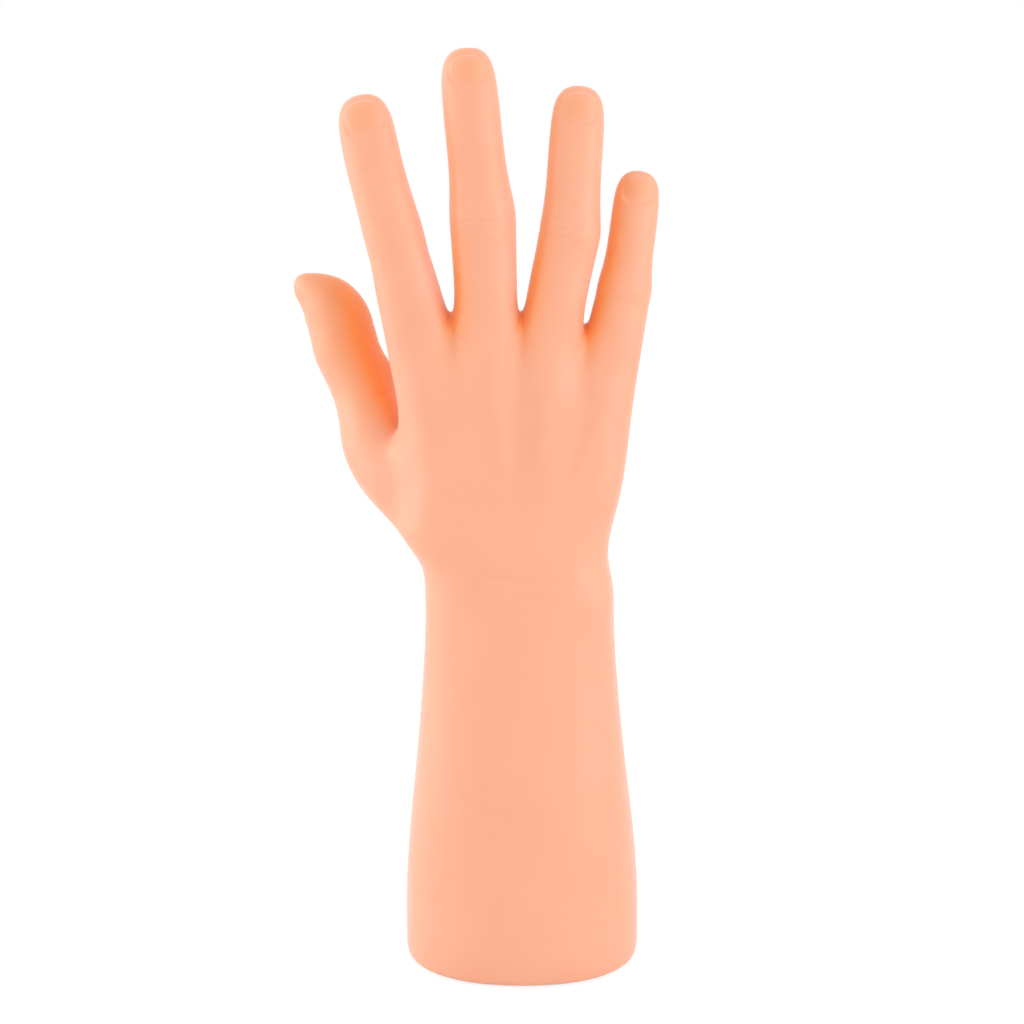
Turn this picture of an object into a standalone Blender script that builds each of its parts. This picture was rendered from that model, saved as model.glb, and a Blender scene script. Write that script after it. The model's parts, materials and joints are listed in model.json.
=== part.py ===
"""Mannequin hand display: a hollow right hand moulded in one piece with its forearm, on a weighted plug.

Frame: the origin is the middle of the face that the hand stands on. +Z runs up the forearm, +X is the
little finger's side and -Y is the back of the hand.
"""

import math

import bmesh
import bpy
import numpy as np

MM = 0.001  # every size below is in millimetres, and Blender works in metres

# Moulded skin
WALL = 2.5
CLEARANCE = 0.3
SMOOTHING_LEVELS = 1
RING_SWELL = 1 / 0.9024  # a smoothed ring of eight points shrinks by this much
SECTION_SWELL = 1.01  # and one of twenty-six points by this much

# Underside of the skin: a foot rim round a recess, whose ceiling holds the plug's opening
BASE_HALF_X = 40.3
BASE_HALF_Y = 38.5
FOOT_HEIGHT = 0.4
FOOT_RIM = 5.5
SEAT_LEDGE = 5.0

# The foot turns in under itself: inset from the base's edge, and height above its rim
FOOT_ROWS = ((0.0, 10.2), (0.0, 3.7), (0.2, 0.8), (2.0, 0.0), (6.0, 0.0), (9.0, 0.0))

FOREARM_SQUARENESS = 2.3  # of its sections and the foot's, where an oval has 2

# Heights in the tables of palm, fingers and thumb are above the wrist's narrowest section
WRIST_HEIGHT = 116.0

# Forearm: share of the wrist's height, then of its flare from wrist to base, across and deep
FOREARM_FLARE = (
    (0.793, 0.21, 0.220),
    (0.586, 0.48, 0.455),
    (0.388, 0.82, 0.660),
    (0.207, 1.00, 0.810),
)

# Palm and wrist, as sections: height, left, right, back, front, squareness, line-up with the fingers
SECTIONS = (
    (85.0, -43.3, 37.3, -12.6, 16.5, 2.9, 1.00),
    (70.0, -41.0, 36.0, -14.2, 16.0, 2.8, 1.00),
    (50.0, -38.2, 33.9, -16.6, 17.5, 2.7, 0.90),
    (33.5, -43.9, 29.6, -19.6, 20.5, 2.5, 0.60),
    (23.0, -33.7, 28.8, -20.9, 21.6, 2.4, 0.40),
    (13.5, -33.1, 31.6, -21.8, 22.2, 2.3, 0.20),
    (0.0, -32.8, 31.0, -23.0, 23.4, 2.2, 0.00),
)
COLUMNS_AT_FINGERS = (-0.95, -0.77, -0.57, -0.46, -0.24, -0.02, 0.08, 0.27, 0.46, 0.58, 0.77, 0.95)
KNUCKLE_DROP = (2.5, 0.0, 3.0, 8.5)  # how far each knuckle lies below the middle finger's
KNUCKLE_FADE = 60.0  # height over which that arc of knuckles dies out below them
KNUCKLE_RISE = 1.6
KNUCKLE_GROOVE = 1.4

# Fleshy pads on the palm side: across, height, breadth, tallness and rise
PALM_PADS = (
    (-28.0, 44.0, 16.0, 26.0, 13.0),
    (21.0, 42.0, 13.0, 27.0, 4.5),
)

# Fingers: knuckle, middle joint, end joint and tip, then the widths at the web, middle joint and end joint
FINGERS = (
    ((-32.4, 3.0, 90.5), (-42.4, 3.0, 131.8), (-49.1, 5.0, 155.7), (-53.7, 8.5, 178.6), 22.2, 19.9, 18.8),
    ((-11.4, 1.5, 94.4), (-13.2, 2.0, 139.6), (-16.1, 4.0, 166.2), (-18.8, 8.0, 193.9), 21.4, 22.1, 18.8),
    ((6.3, 2.0, 89.0), (15.8, 2.5, 133.6), (17.2, 4.5, 156.5), (19.0, 8.0, 181.5), 20.4, 20.4, 18.0),
    ((27.5, 4.0, 81.9), (34.1, 5.0, 115.0), (36.6, 7.0, 132.9), (39.1, 10.5, 153.5), 19.4, 18.4, 15.6),
)
WEB_HEIGHTS = (106.1, 106.1, 106.4, 100.3)  # of each finger's root
WEB_SLOPE = 7.0  # the web falls this far towards the back of the hand
WEB_GAP = 1.8

# Depth of a finger as a share of its width
DEPTH_AT_WEB = 0.98
DEPTH_AT_JOINT = 0.90
DEPTH_AT_END = 0.85
DEPTH_AT_NAIL = 0.80

# Rings along a finger: bone, share of the way along it, shares of the three widths, and depth
FINGER_RINGS = (
    (0, 0.00, (0.96, 0.00, 0.00), DEPTH_AT_WEB),
    (0, 0.26, (0.97, 0.00, 0.00), DEPTH_AT_WEB),
    (0, 0.52, (0.49, 0.49, 0.00), DEPTH_AT_JOINT),
    (0, 0.78, (0.00, 0.98, 0.00), DEPTH_AT_JOINT),
    (1, 0.00, (0.00, 1.015, 0.00), DEPTH_AT_JOINT),
    (1, 0.20, (0.00, 0.51, 0.51), DEPTH_AT_JOINT),
    (1, 0.55, (0.00, 0.00, 1.01), DEPTH_AT_JOINT),
    (1, 0.88, (0.00, 0.00, 1.00), DEPTH_AT_END),
    (2, 0.12, (0.00, 0.00, 1.00), DEPTH_AT_END),
    (2, 0.40, (0.00, 0.00, 0.99), DEPTH_AT_NAIL),
)
# Rings near its tip: distance below the tip, width and depth, as shares of the width at the end joint
TIP_RINGS = (
    (0.46, 0.95, 0.760),
    (0.22, 0.81, 0.630),
    (0.05, 0.52, 0.355),
)
TIP_RISE = 0.6

# Thumb: its rings' middles, their reach to the nail side and to the pulp, and half their width
THUMB_RINGS = (
    ((-45.1, 15.0, 50.8), 13.0, 12.0, 15.5),
    ((-48.8, 19.5, 61.6), 15.0, 12.0, 13.6),
    ((-53.8, 22.5, 72.9), 9.4, 11.8, 11.8),
    ((-57.5, 24.5, 82.9), 9.8, 11.9, 11.8),
    ((-60.8, 25.5, 91.6), 11.6, 11.4, 11.2),
    ((-63.8, 26.0, 100.8), 9.8, 13.1, 11.2),
    ((-67.9, 26.3, 107.7), 8.4, 11.5, 10.6),
    ((-70.7, 26.4, 111.3), 7.0, 8.1, 8.8),
    ((-75.9, 26.4, 115.0), 4.5, 3.3, 5.2),
)
THUMB_ROOT = (-30.0, 8.0, 39.0)
THUMB_TIP = (-79.1, 26.4, 117.4)
THUMB_BACK = (-0.93, -0.37, 0.0)  # where the nail faces
THUMB_BACK_AT_ROOT = ((-0.6, -0.1, -0.8), (-0.87, -0.28, -0.25))  # and the first rings, as the thumb turns
# The web of skin between thumb and palm: how far it fills the fold that plain rings and sections would leave
FACING_PALM_COUNT = 3  # the last points of each thumb ring, which face the palm
THUMB_WEB_FILL = ((-5.0, -1.0, 5.5), (-3.0, -1.0, 2.0))  # for those points of the thumb's first rings
TOP_WEB_FILL = (0.0, 0.0, 4.0)  # for the palm's points above the thumb
BACK_WEB_FILL = (-4.5, -3.5, 0.0)  # for the palm's side, between the thumb and the back of the hand
ABOVE_THUMB_COUNT = 1  # sections above those that the thumb leaves the palm's side between
AT_THUMB_COUNT = 3

# Base plug
FLANGE_THICKNESS = 2.0
FLANGE_CLEARANCE = 0.5
SPIGOT_HEIGHT = 16.2
SPIGOT_WALL = 2.0
BOSS_DIAMETER = 8.0
BOSS_HEIGHT = 8.0
RIB_THICKNESS = 1.6
RIB_HEIGHT = 6.0
PRY_NOTCH_WIDTH = 12.0
PRY_NOTCH_DEPTH = 2.0
PLUG_SEGMENTS = 64

# Ballast and its screws
BALLAST_CLEARANCE = 3.7  # to the inside of the plug's cup
BALLAST_THICKNESS = 12.0
BALLAST_CHAMFER = 0.8
SCREW_COUNT = 3
SCREW_FROM_EDGE = 8.0  # from the ballast's edge to a screw's middle
SHANK_DIAMETER = 3.4
SHANK_IN_BOSS = 5.8
SHANK_POINT = 2.0
HEAD_DIAMETER = 7.0
HEAD_HEIGHT = 2.4
DRIVE_WIDTH = 0.9
DRIVE_SPAN = 3.8
DRIVE_DEPTH = 1.2
WASHER_DIAMETER = 9.0
WASHER_THICKNESS = 0.8
ROUND_STEPS = 24

# Pad
PAD_THICKNESS = 1.5
PAD_INSET = 1.5
PAD_EDGE = 0.3

# Heights that follow from the sizes above
PLUG_BOTTOM = PAD_THICKNESS + CLEARANCE
FLANGE_TOP = PLUG_BOTTOM + FLANGE_THICKNESS
RECESS_CEILING = FLANGE_TOP + CLEARANCE
LEDGE_TOP = RECESS_CEILING + WALL
SPIGOT_TOP = FLANGE_TOP + SPIGOT_HEIGHT
IN_FLANGE = 0.5 * (PLUG_BOTTOM + FLANGE_TOP)  # bosses and ribs are rooted here, half way into the flange
BOSS_TOP = FLANGE_TOP + BOSS_HEIGHT
BALLAST_BOTTOM = BOSS_TOP + CLEARANCE
BALLAST_TOP = BALLAST_BOTTOM + BALLAST_THICKNESS
WASHER_BOTTOM = BALLAST_TOP + CLEARANCE
HEAD_BOTTOM = WASHER_BOTTOM + WASHER_THICKNESS + CLEARANCE
SHANK_LENGTH = HEAD_BOTTOM - BOSS_TOP + SHANK_IN_BOSS

# Half axes of the ovals in the base, and round sizes
RECESS = (BASE_HALF_X - FOOT_RIM, BASE_HALF_Y - FOOT_RIM)
FLANGE = (RECESS[0] - FLANGE_CLEARANCE, RECESS[1] - FLANGE_CLEARANCE)
OPENING = (RECESS[0] - SEAT_LEDGE, RECESS[1] - SEAT_LEDGE)
SPIGOT = (OPENING[0] - CLEARANCE, OPENING[1] - CLEARANCE)
CUP = (SPIGOT[0] - SPIGOT_WALL, SPIGOT[1] - SPIGOT_WALL)
PAD = (FLANGE[0] - PAD_INSET, FLANGE[1] - PAD_INSET)
BALLAST_RADIUS = min(CUP) - BALLAST_CLEARANCE
SCREW_RADIUS = BALLAST_RADIUS - SCREW_FROM_EDGE  # of the circle that the screws stand on
HOLE_RADIUS = 0.5 * SHANK_DIAMETER + CLEARANCE

PALM_COLUMNS = 26
BACK_COLUMNS = 12
OUT = 5.0  # how far a cutter runs past the face that it cuts


def clear_scene():
    for obj in list(bpy.data.objects):
        bpy.data.objects.remove(obj, do_unlink=True)
    for name in ("Mannequin hand display", "Cutters"):
        bpy.context.scene.collection.children.link(bpy.data.collections.new(name))


def unit(vector):
    return np.asarray(vector, float) / np.linalg.norm(vector)


def add_object(name, mesh, helper=False):
    """Puts a mesh in the scene, in the cutters' collection when it is a helper."""
    obj = bpy.data.objects.new(name, mesh)
    bpy.data.collections["Cutters" if helper else "Mannequin hand display"].objects.link(obj)
    if helper:
        obj.hide_render = True
        obj.display_type = "WIRE"
    return obj


def add_mesh(name, points, faces, helper=False):
    mesh = bpy.data.meshes.new(name)
    mesh.from_pydata([tuple(p) for p in np.asarray(points) * MM], [], faces)
    mesh.validate()
    return add_object(name, mesh, helper)


def material(name, colour, roughness, metallic=0.0, subsurface=0.0):
    made = bpy.data.materials.new(name)
    made.use_nodes = True
    shader = made.node_tree.nodes["Principled BSDF"]
    shader.inputs["Base Color"].default_value = (*colour, 1.0)
    shader.inputs["Roughness"].default_value = roughness
    shader.inputs["Metallic"].default_value = metallic
    shader.inputs["Subsurface Weight"].default_value = subsurface
    made.diffuse_color = (*colour, 1.0)
    return made


def boolean(obj, other, operation):
    modifier = obj.modifiers.new(f"{operation.title()} {other.name}", "BOOLEAN")
    modifier.operation = operation
    modifier.object = other
    modifier.solver = "EXACT"


def ring_of_eight(middle, along, back, half_width, half_back, half_front):
    """Points round a finger: left, back left, back, back right, right, front right, front, front left."""
    along = unit(along)
    back = unit(np.asarray(back, float) - np.dot(back, along) * along)
    right = np.cross(along, back)
    points = []
    for degrees in (180, 135, 90, 45, 0, -45, -90, -135):
        across = math.cos(math.radians(degrees))
        rise = math.sin(math.radians(degrees))
        depth = half_back if rise > 0 else half_front
        points.append(middle + RING_SWELL * (right * across * half_width + back * rise * depth))
    return points


def along_finger(joints, place):
    """The point and direction at a place such as 1.5, half way from the second joint to the third."""
    step = min(int(place), len(joints) - 2)
    share = place - step
    point = joints[step] + share * (joints[step + 1] - joints[step])
    runs = [unit(joints[i + 1] - joints[i]) for i in range(len(joints) - 1)]
    before = runs[max(step - 1, 0)]
    after = runs[min(step + 1, len(runs) - 1)]
    if share < 0.5:
        direction = (0.5 - share) * before + (0.5 + share) * runs[step]
    else:
        direction = (1.5 - share) * runs[step] + (share - 0.5) * after
    return point, unit(direction)


def lifted(point):
    """A point of the hand's tables, whose height is above the wrist, in the part's own frame."""
    return np.array(point, float) + (0, 0, WRIST_HEIGHT)


def finger_rings(finger, web_height):
    """Rings of eight from the web to the tip, and the tip's own point."""
    joints = [np.array(p, float) for p in finger[:4]]
    widths = np.array(finger[4:])
    web_share = (web_height - joints[0][2]) / (joints[1][2] - joints[0][2])
    joints[0] = joints[0] + web_share * (joints[1] - joints[0])
    end_width = widths[2]
    length_of_end = np.linalg.norm(joints[3] - joints[2])
    stations = []
    for bone, share, shares_of_width, depth in FINGER_RINGS:
        width = np.dot(shares_of_width, widths)
        stations.append((bone + share, width, width * depth))
    for below_tip, width_share, depth_share in TIP_RINGS:
        place = 3.0 - below_tip * end_width / length_of_end
        stations.append((place, end_width * width_share, end_width * depth_share))
    rings = []
    for place, width, depth in stations:
        middle, direction = along_finger(joints, place)
        half_depth = 0.5 * depth
        ring = ring_of_eight(lifted(middle), direction, (0, -1, 0), 0.5 * width, half_depth, half_depth)
        rings.append(ring)
    tip = joints[3] + TIP_RISE * unit(joints[3] - joints[2])
    return rings, lifted(tip)


def thumb_rings():
    rings = []
    middles = [lifted(p) for p in (THUMB_ROOT, *(ring[0] for ring in THUMB_RINGS), THUMB_TIP)]
    backs = THUMB_BACK_AT_ROOT + (THUMB_BACK,) * (len(THUMB_RINGS) - len(THUMB_BACK_AT_ROOT))
    for number, (_, to_nail, to_pulp, half_width) in enumerate(THUMB_RINGS):
        direction = middles[number + 2] - middles[number]
        middle = middles[number + 1]
        rings.append(ring_of_eight(middle, direction, backs[number], half_width, to_nail, to_pulp))
    for ring, fill in zip(rings, THUMB_WEB_FILL):
        for k in range(-FACING_PALM_COUNT, 0):
            ring[k] = ring[k] + fill
    return rings, middles[-1]


def pad_rise(x, height):
    """How far the palm's fleshy pads stand out at a place."""
    rise = 0.0
    for across, level, breadth, tallness, most in PALM_PADS:
        rise += most * math.exp(-((x - across) / breadth) ** 2 - ((height - level) / tallness) ** 2)
    return rise


def section_points(section):
    """The twenty-six points of a section, from the thumb side round the back and the front."""
    height, left, right, back, front, squareness, line_up = section
    middle = 0.5 * (left + right)
    half = 0.5 * (right - left)
    level = 0.5 * (back + front)
    half_depth = 0.5 * (front - back)
    lift = max(0.0, 1.0 - (SECTIONS[0][0] - height) / KNUCKLE_FADE)
    points = []
    for column in range(PALM_COLUMNS):
        on_back = 1 <= column <= BACK_COLUMNS
        on_side = column in (0, BACK_COLUMNS + 1)
        place = column if column <= BACK_COLUMNS + 1 else PALM_COLUMNS - column
        even = -math.cos(math.pi * place / (BACK_COLUMNS + 1))
        lined = even if on_side else COLUMNS_AT_FINGERS[place - 1]
        across = line_up * lined + (1 - line_up) * even
        depth = (1 - abs(across) ** squareness) ** (1 / squareness)
        ray = min(max((place - 1) // 3, 0), 3)
        rise = lift * (KNUCKLE_RISE if (place - 1) % 3 == 1 else -KNUCKLE_GROOVE)
        x = middle + half * SECTION_SWELL * across
        if on_side:
            y = level
        elif on_back:
            y = level - (half_depth * SECTION_SWELL + rise) * depth
        else:
            y = level + half_depth * SECTION_SWELL * depth + pad_rise(x, height)
        points.append(lifted((x, y, height - lift * KNUCKLE_DROP[ray])))
    return points


def forearm_sections():
    """Sections between the wrist and the base, which flare from the one to the other."""
    _, left, right, back, front, _, _ = SECTIONS[-1]
    sections = []
    for share_of_height, across, deep in FOREARM_FLARE:
        sections.append(((share_of_height - 1) * WRIST_HEIGHT,
                         left - across * (BASE_HALF_X + left), right + across * (BASE_HALF_X - right),
                         back - deep * (BASE_HALF_Y + back), front + deep * (BASE_HALF_Y - front),
                         FOREARM_SQUARENESS, 0.0))
    return sections


def foot_sections():
    """Sections that turn the foot of the forearm in under itself, to a flat rim."""
    sections = []
    for inset, height in FOOT_ROWS:
        x = BASE_HALF_X - inset
        y = BASE_HALF_Y - inset
        level = FOOT_HEIGHT + height - WRIST_HEIGHT
        sections.append((level, -x, x, -y, y, FOREARM_SQUARENESS, 0.0))
    return sections


class Cage:
    """The coarse surface of the hand, whose points are shared between neighbouring faces."""

    def __init__(self):
        self.points = []
        self.faces = []

    def add(self, points):
        first = len(self.points)
        self.points.extend(points)
        return list(range(first, len(self.points)))

    def join(self, low, high, skip=()):
        """Quads between two closed rings."""
        count = len(low)
        for k in range(count):
            if k not in skip:
                after = (k + 1) % count
                self.faces.append((low[k], low[after], high[after], high[k]))

    def close_tip(self, ring, tip):
        centre = self.add([tip])[0]
        for k in (0, 2, 4, 6):
            self.faces.append((ring[(k + 6) % 8], ring[(k + 7) % 8], ring[k], centre))


def finger_roots(cage):
    """Each finger's root ring, with the webs between neighbours, and the rest of the finger above it."""
    roots = []
    for finger, web_height in zip(FINGERS, WEB_HEIGHTS):
        rings, tip = finger_rings(finger, web_height)
        root = [np.array(p) for p in rings[0]]
        for k in (1, 2, 3):
            root[k][2] -= WEB_SLOPE
        below = cage.add(root)
        roots.append(below)
        for ring in rings[1:]:
            above = cage.add(ring)
            cage.join(below, above)
            below = above
        cage.close_tip(below, tip)
    return roots


def join_webs(cage, roots):
    """Parts neighbouring roots by the web's width, and lays the web's floor between them."""
    for number in range(3):
        left_root = roots[number]
        right_root = roots[number + 1]
        for on_left, on_right in ((3, 1), (4, 0), (5, 7)):
            a = np.array(cage.points[left_root[on_left]])
            b = np.array(cage.points[right_root[on_right]])
            middle = 0.5 * (a + b)
            half_gap = np.array([0.5 * WEB_GAP, 0, 0])
            cage.points[left_root[on_left]] = middle - half_gap
            cage.points[right_root[on_right]] = middle + half_gap
        cage.faces.append((left_root[3], right_root[1], right_root[0], left_root[4]))
        cage.faces.append((left_root[4], right_root[0], right_root[7], left_root[5]))


def palm_top(roots):
    """The roots' outer points, in the order of a palm section's columns."""
    top = [roots[0][0]]
    for root in roots:
        top.extend(root[k] for k in (1, 2, 3))
    top.append(roots[3][4])
    for root in reversed(roots):
        top.extend(root[k] for k in (5, 6, 7))
    return top


def hand_cage():
    """The closed coarse surface of hand and forearm, in millimetres."""
    cage = Cage()
    roots = finger_roots(cage)
    join_webs(cage, roots)
    above = palm_top(roots)
    sections = []
    thumb_columns = (PALM_COLUMNS - 2, PALM_COLUMNS - 1)
    for number, section in enumerate((*SECTIONS, *forearm_sections(), *foot_sections())):
        ring = cage.add(section_points(section))
        at_thumb = ABOVE_THUMB_COUNT < number < ABOVE_THUMB_COUNT + AT_THUMB_COUNT
        cage.join(ring, above, skip=thumb_columns if at_thumb else ())
        sections.append(ring)
        above = ring
    cage.faces.append(tuple(reversed(above)))
    top, mid, low = sections[ABOVE_THUMB_COUNT:ABOVE_THUMB_COUNT + AT_THUMB_COUNT]
    palmar, outer, side = (*thumb_columns, 0)
    for point in (top[side], top[outer], top[palmar]):
        cage.points[point] = cage.points[point] + TOP_WEB_FILL
    cage.points[mid[side]] = cage.points[mid[side]] + BACK_WEB_FILL
    below = [mid[palmar], low[palmar], low[outer], low[side], mid[side], top[side], top[outer], top[palmar]]
    rings, tip = thumb_rings()
    for ring in rings:
        above = cage.add(ring)
        cage.join(below, above)
        below = above
    cage.close_tip(below, tip)
    return np.array(cage.points, float), cage.faces


def smooth(obj, levels):
    modifier = obj.modifiers.new("Smooth form", "SUBSURF")
    modifier.levels = levels
    modifier.render_levels = levels


def cavity_mesh(cage_object, faces):
    """The hollow inside: the smoothed surface moved in by the wall, down to the plug's ledge."""
    graph = bpy.context.evaluated_depsgraph_get()
    evaluated = cage_object.evaluated_get(graph)
    mesh = evaluated.to_mesh()
    count = len(cage_object.data.vertices)
    points = np.array([v.co[:] for v in mesh.vertices][:count]) / MM
    normals = np.array([v.normal[:] for v in mesh.vertices][:count])
    evaluated.to_mesh_clear()
    inner = points - WALL * normals
    inner[:, 2] = np.maximum(inner[:, 2], LEDGE_TOP)
    return add_mesh("hand_cavity", inner, faces, helper=True)


def oval_prism(name, half_axes, bottom, top, helper=False, place=(0.0, 0.0), segments=PLUG_SEGMENTS):
    mesh = bpy.data.meshes.new(name)
    shape = bmesh.new()
    bmesh.ops.create_cone(shape, cap_ends=True, segments=segments, radius1=MM, radius2=MM,
                          depth=(top - bottom) * MM)
    bmesh.ops.scale(shape, verts=shape.verts, vec=(half_axes[0], half_axes[1], 1))
    middle = (place[0] * MM, place[1] * MM, 0.5 * (top + bottom) * MM)
    bmesh.ops.translate(shape, verts=shape.verts, vec=middle)
    shape.to_mesh(mesh)
    shape.free()
    return add_object(name, mesh, helper)


def block(name, size, middle, turn=0.0, helper=True):
    mesh = bpy.data.meshes.new(name)
    shape = bmesh.new()
    bmesh.ops.create_cube(shape, size=MM)
    bmesh.ops.scale(shape, verts=shape.verts, vec=size)
    shape.to_mesh(mesh)
    shape.free()
    obj = add_object(name, mesh, helper)
    obj.location = [MM * c for c in middle]
    obj.rotation_euler = (0, 0, turn)
    return obj


def turned(name, profile):
    """A turned solid from a profile of (radius, height) points that runs down its outer side."""
    mesh = bpy.data.meshes.new(name)
    points = [(r * MM, 0, z * MM) for r, z in profile]
    edges = [(k, k + 1) for k in range(len(points) - 1)]
    if profile[0][0] > 0:
        edges.append((len(points) - 1, 0))
    mesh.from_pydata(points, edges, [])
    obj = add_object(name, mesh)
    screw = obj.modifiers.new("Turn", "SCREW")
    screw.steps = ROUND_STEPS
    screw.render_steps = ROUND_STEPS
    screw.use_merge_vertices = True
    screw.merge_threshold = 0.00001
    return obj


def shade_round(obj, degrees=40):
    obj.data.shade_smooth()
    obj.data.set_sharp_from_angle(angle=math.radians(degrees))


def screw_places():
    """Middles of the screws, on their circle, the first one towards the palm side."""
    places = []
    for number in range(SCREW_COUNT):
        angle = math.pi / 2 + 2 * math.pi * number / SCREW_COUNT
        places.append((SCREW_RADIUS * math.cos(angle), SCREW_RADIUS * math.sin(angle)))
    return places


def make_hand_skin(hand):
    points, faces = hand_cage()
    skin = add_mesh("hand_skin", points, faces)
    smooth(skin, SMOOTHING_LEVELS)
    cavity = cavity_mesh(skin, faces)
    recess = oval_prism("recess_cutter", RECESS, -OUT, RECESS_CEILING, helper=True)
    opening = oval_prism("opening_cutter", OPENING, -OUT, LEDGE_TOP + OUT, helper=True)
    for cutter in (cavity, recess, opening):
        boolean(skin, cutter, "DIFFERENCE")
    skin.data.materials.append(material("Soft peach PVC", (0.96, 0.44, 0.28), 0.55, subsurface=0.2))
    shade_round(skin)
    skin.parent = hand


def make_base_plug(base):
    plug = oval_prism("base_plug", FLANGE, PLUG_BOTTOM, FLANGE_TOP)
    spigot = oval_prism("spigot_form", SPIGOT, IN_FLANGE, SPIGOT_TOP, helper=True)
    cup = oval_prism("cup_cutter", CUP, FLANGE_TOP, SPIGOT_TOP + OUT, helper=True)
    boolean(plug, spigot, "UNION")
    boolean(plug, cup, "DIFFERENCE")
    boss_axes = (0.5 * BOSS_DIAMETER, 0.5 * BOSS_DIAMETER)
    hole_axes = (HOLE_RADIUS, HOLE_RADIUS)
    rib_top = FLANGE_TOP + RIB_HEIGHT
    reach = SPIGOT[1] - 0.5 * SPIGOT_WALL
    for number, place in enumerate(screw_places(), 1):
        out = unit(place)
        rib_size = (reach - SCREW_RADIUS, RIB_THICKNESS, rib_top - IN_FLANGE)
        rib_middle = (*(0.5 * (SCREW_RADIUS + reach) * out), 0.5 * (IN_FLANGE + rib_top))
        rib = block(f"rib_form_{number}", rib_size, rib_middle, math.atan2(out[1], out[0]))
        boss = oval_prism(f"boss_form_{number}", boss_axes, IN_FLANGE, BOSS_TOP, True, place, ROUND_STEPS)
        hole = oval_prism(f"boss_hole_{number}", hole_axes, IN_FLANGE, BOSS_TOP + OUT, True, place,
                          ROUND_STEPS)
        boolean(plug, rib, "UNION")
        boolean(plug, boss, "UNION")
        boolean(plug, hole, "DIFFERENCE")
    notch_size = (PRY_NOTCH_WIDTH, 2 * PRY_NOTCH_DEPTH, FLANGE_THICKNESS + 2 * OUT)
    for side in (-1, 1):
        notch = block(f"pry_notch_{side + 2}", notch_size, (0, side * FLANGE[1], IN_FLANGE))
        boolean(plug, notch, "DIFFERENCE")
    plug.data.materials.append(material("Ivory polypropylene", (0.78, 0.72, 0.62), 0.45))
    shade_round(plug)
    plug.parent = base


def make_ballast(base):
    radius = BALLAST_RADIUS
    c = BALLAST_CHAMFER
    profile = ((0, BALLAST_TOP), (radius - c, BALLAST_TOP), (radius, BALLAST_TOP - c),
               (radius, BALLAST_BOTTOM + c), (radius - c, BALLAST_BOTTOM), (0, BALLAST_BOTTOM))
    disc = turned("ballast_disc", profile)
    for number, place in enumerate(screw_places(), 1):
        hole = oval_prism(f"ballast_hole_{number}", (HOLE_RADIUS, HOLE_RADIUS), BALLAST_BOTTOM - OUT,
                          BALLAST_TOP + OUT, True, place, ROUND_STEPS)
        boolean(disc, hole, "DIFFERENCE")
    disc.data.materials.append(material("Dark cast iron", (0.08, 0.08, 0.085), 0.6, 0.8))
    disc.parent = base


def screw_profile():
    """Pan head on a plain shank with a blunt point, measured from under the head."""
    head = 0.5 * HEAD_DIAMETER
    shank = 0.5 * SHANK_DIAMETER
    return ((0, HEAD_HEIGHT), (0.55 * head, HEAD_HEIGHT), (0.85 * head, 0.82 * HEAD_HEIGHT),
            (head, 0.45 * HEAD_HEIGHT), (head, 0), (shank, 0), (shank, -SHANK_LENGTH + SHANK_POINT),
            (0.35 * shank, -SHANK_LENGTH), (0, -SHANK_LENGTH))


def make_screws(base):
    steel = material("Zinc-plated steel", (0.62, 0.63, 0.65), 0.3, 1.0)
    washer_profile = ((HOLE_RADIUS, WASHER_THICKNESS), (0.5 * WASHER_DIAMETER, WASHER_THICKNESS),
                      (0.5 * WASHER_DIAMETER, 0), (HOLE_RADIUS, 0))
    for number, (x, y) in enumerate(screw_places(), 1):
        screw = turned(f"ballast_screw_{number}", screw_profile())
        screw.location = (x * MM, y * MM, HEAD_BOTTOM * MM)
        for turn in (0, 1):
            size = (DRIVE_SPAN, DRIVE_WIDTH, 2 * DRIVE_DEPTH)
            middle = (x, y, HEAD_BOTTOM + HEAD_HEIGHT)
            slot = block(f"drive_slot_{number}_{turn}", size, middle, turn * math.pi / 2)
            boolean(screw, slot, "DIFFERENCE")
        washer = turned(f"ballast_washer_{number}", washer_profile)
        washer.location = (x * MM, y * MM, WASHER_BOTTOM * MM)
        for obj in (screw, washer):
            obj.data.materials.append(steel)
            obj.parent = base


def make_pad(base):
    pad = oval_prism("base_pad", PAD, 0, PAD_THICKNESS)
    bevel = pad.modifiers.new("Soft edge", "BEVEL")
    bevel.width = PAD_EDGE * MM
    bevel.segments = 1
    bevel.limit_method = "ANGLE"
    pad.data.materials.append(material("Black EVA foam", (0.03, 0.03, 0.03), 0.85))
    shade_round(pad)
    pad.parent = base


def add_empty(name, parent=None):
    """An empty at the origin, on the line along which the hand lifts off its base."""
    empty = bpy.data.objects.new(name, None)
    bpy.data.collections["Mannequin hand display"].objects.link(empty)
    empty.parent = parent
    return empty


def main():
    clear_scene()
    base = add_empty("base")
    hand = add_empty("hand", base)
    make_hand_skin(hand)
    make_base_plug(base)
    make_ballast(base)
    make_screws(base)
    make_pad(base)


main()
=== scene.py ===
"""Looks of the mannequin hand display: a hollow hand of soft PVC with moulded nails and creases, on its base.

Sizes are in millimetres until a mesh is made, and in metres for camera, lamps and materials. +X is the little
finger's side, -Y the back of the hand and +Z up. The skin is the part's own form, smoothed finely, with the
moulding's relief added along its normals.
"""

import json
import math

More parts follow.
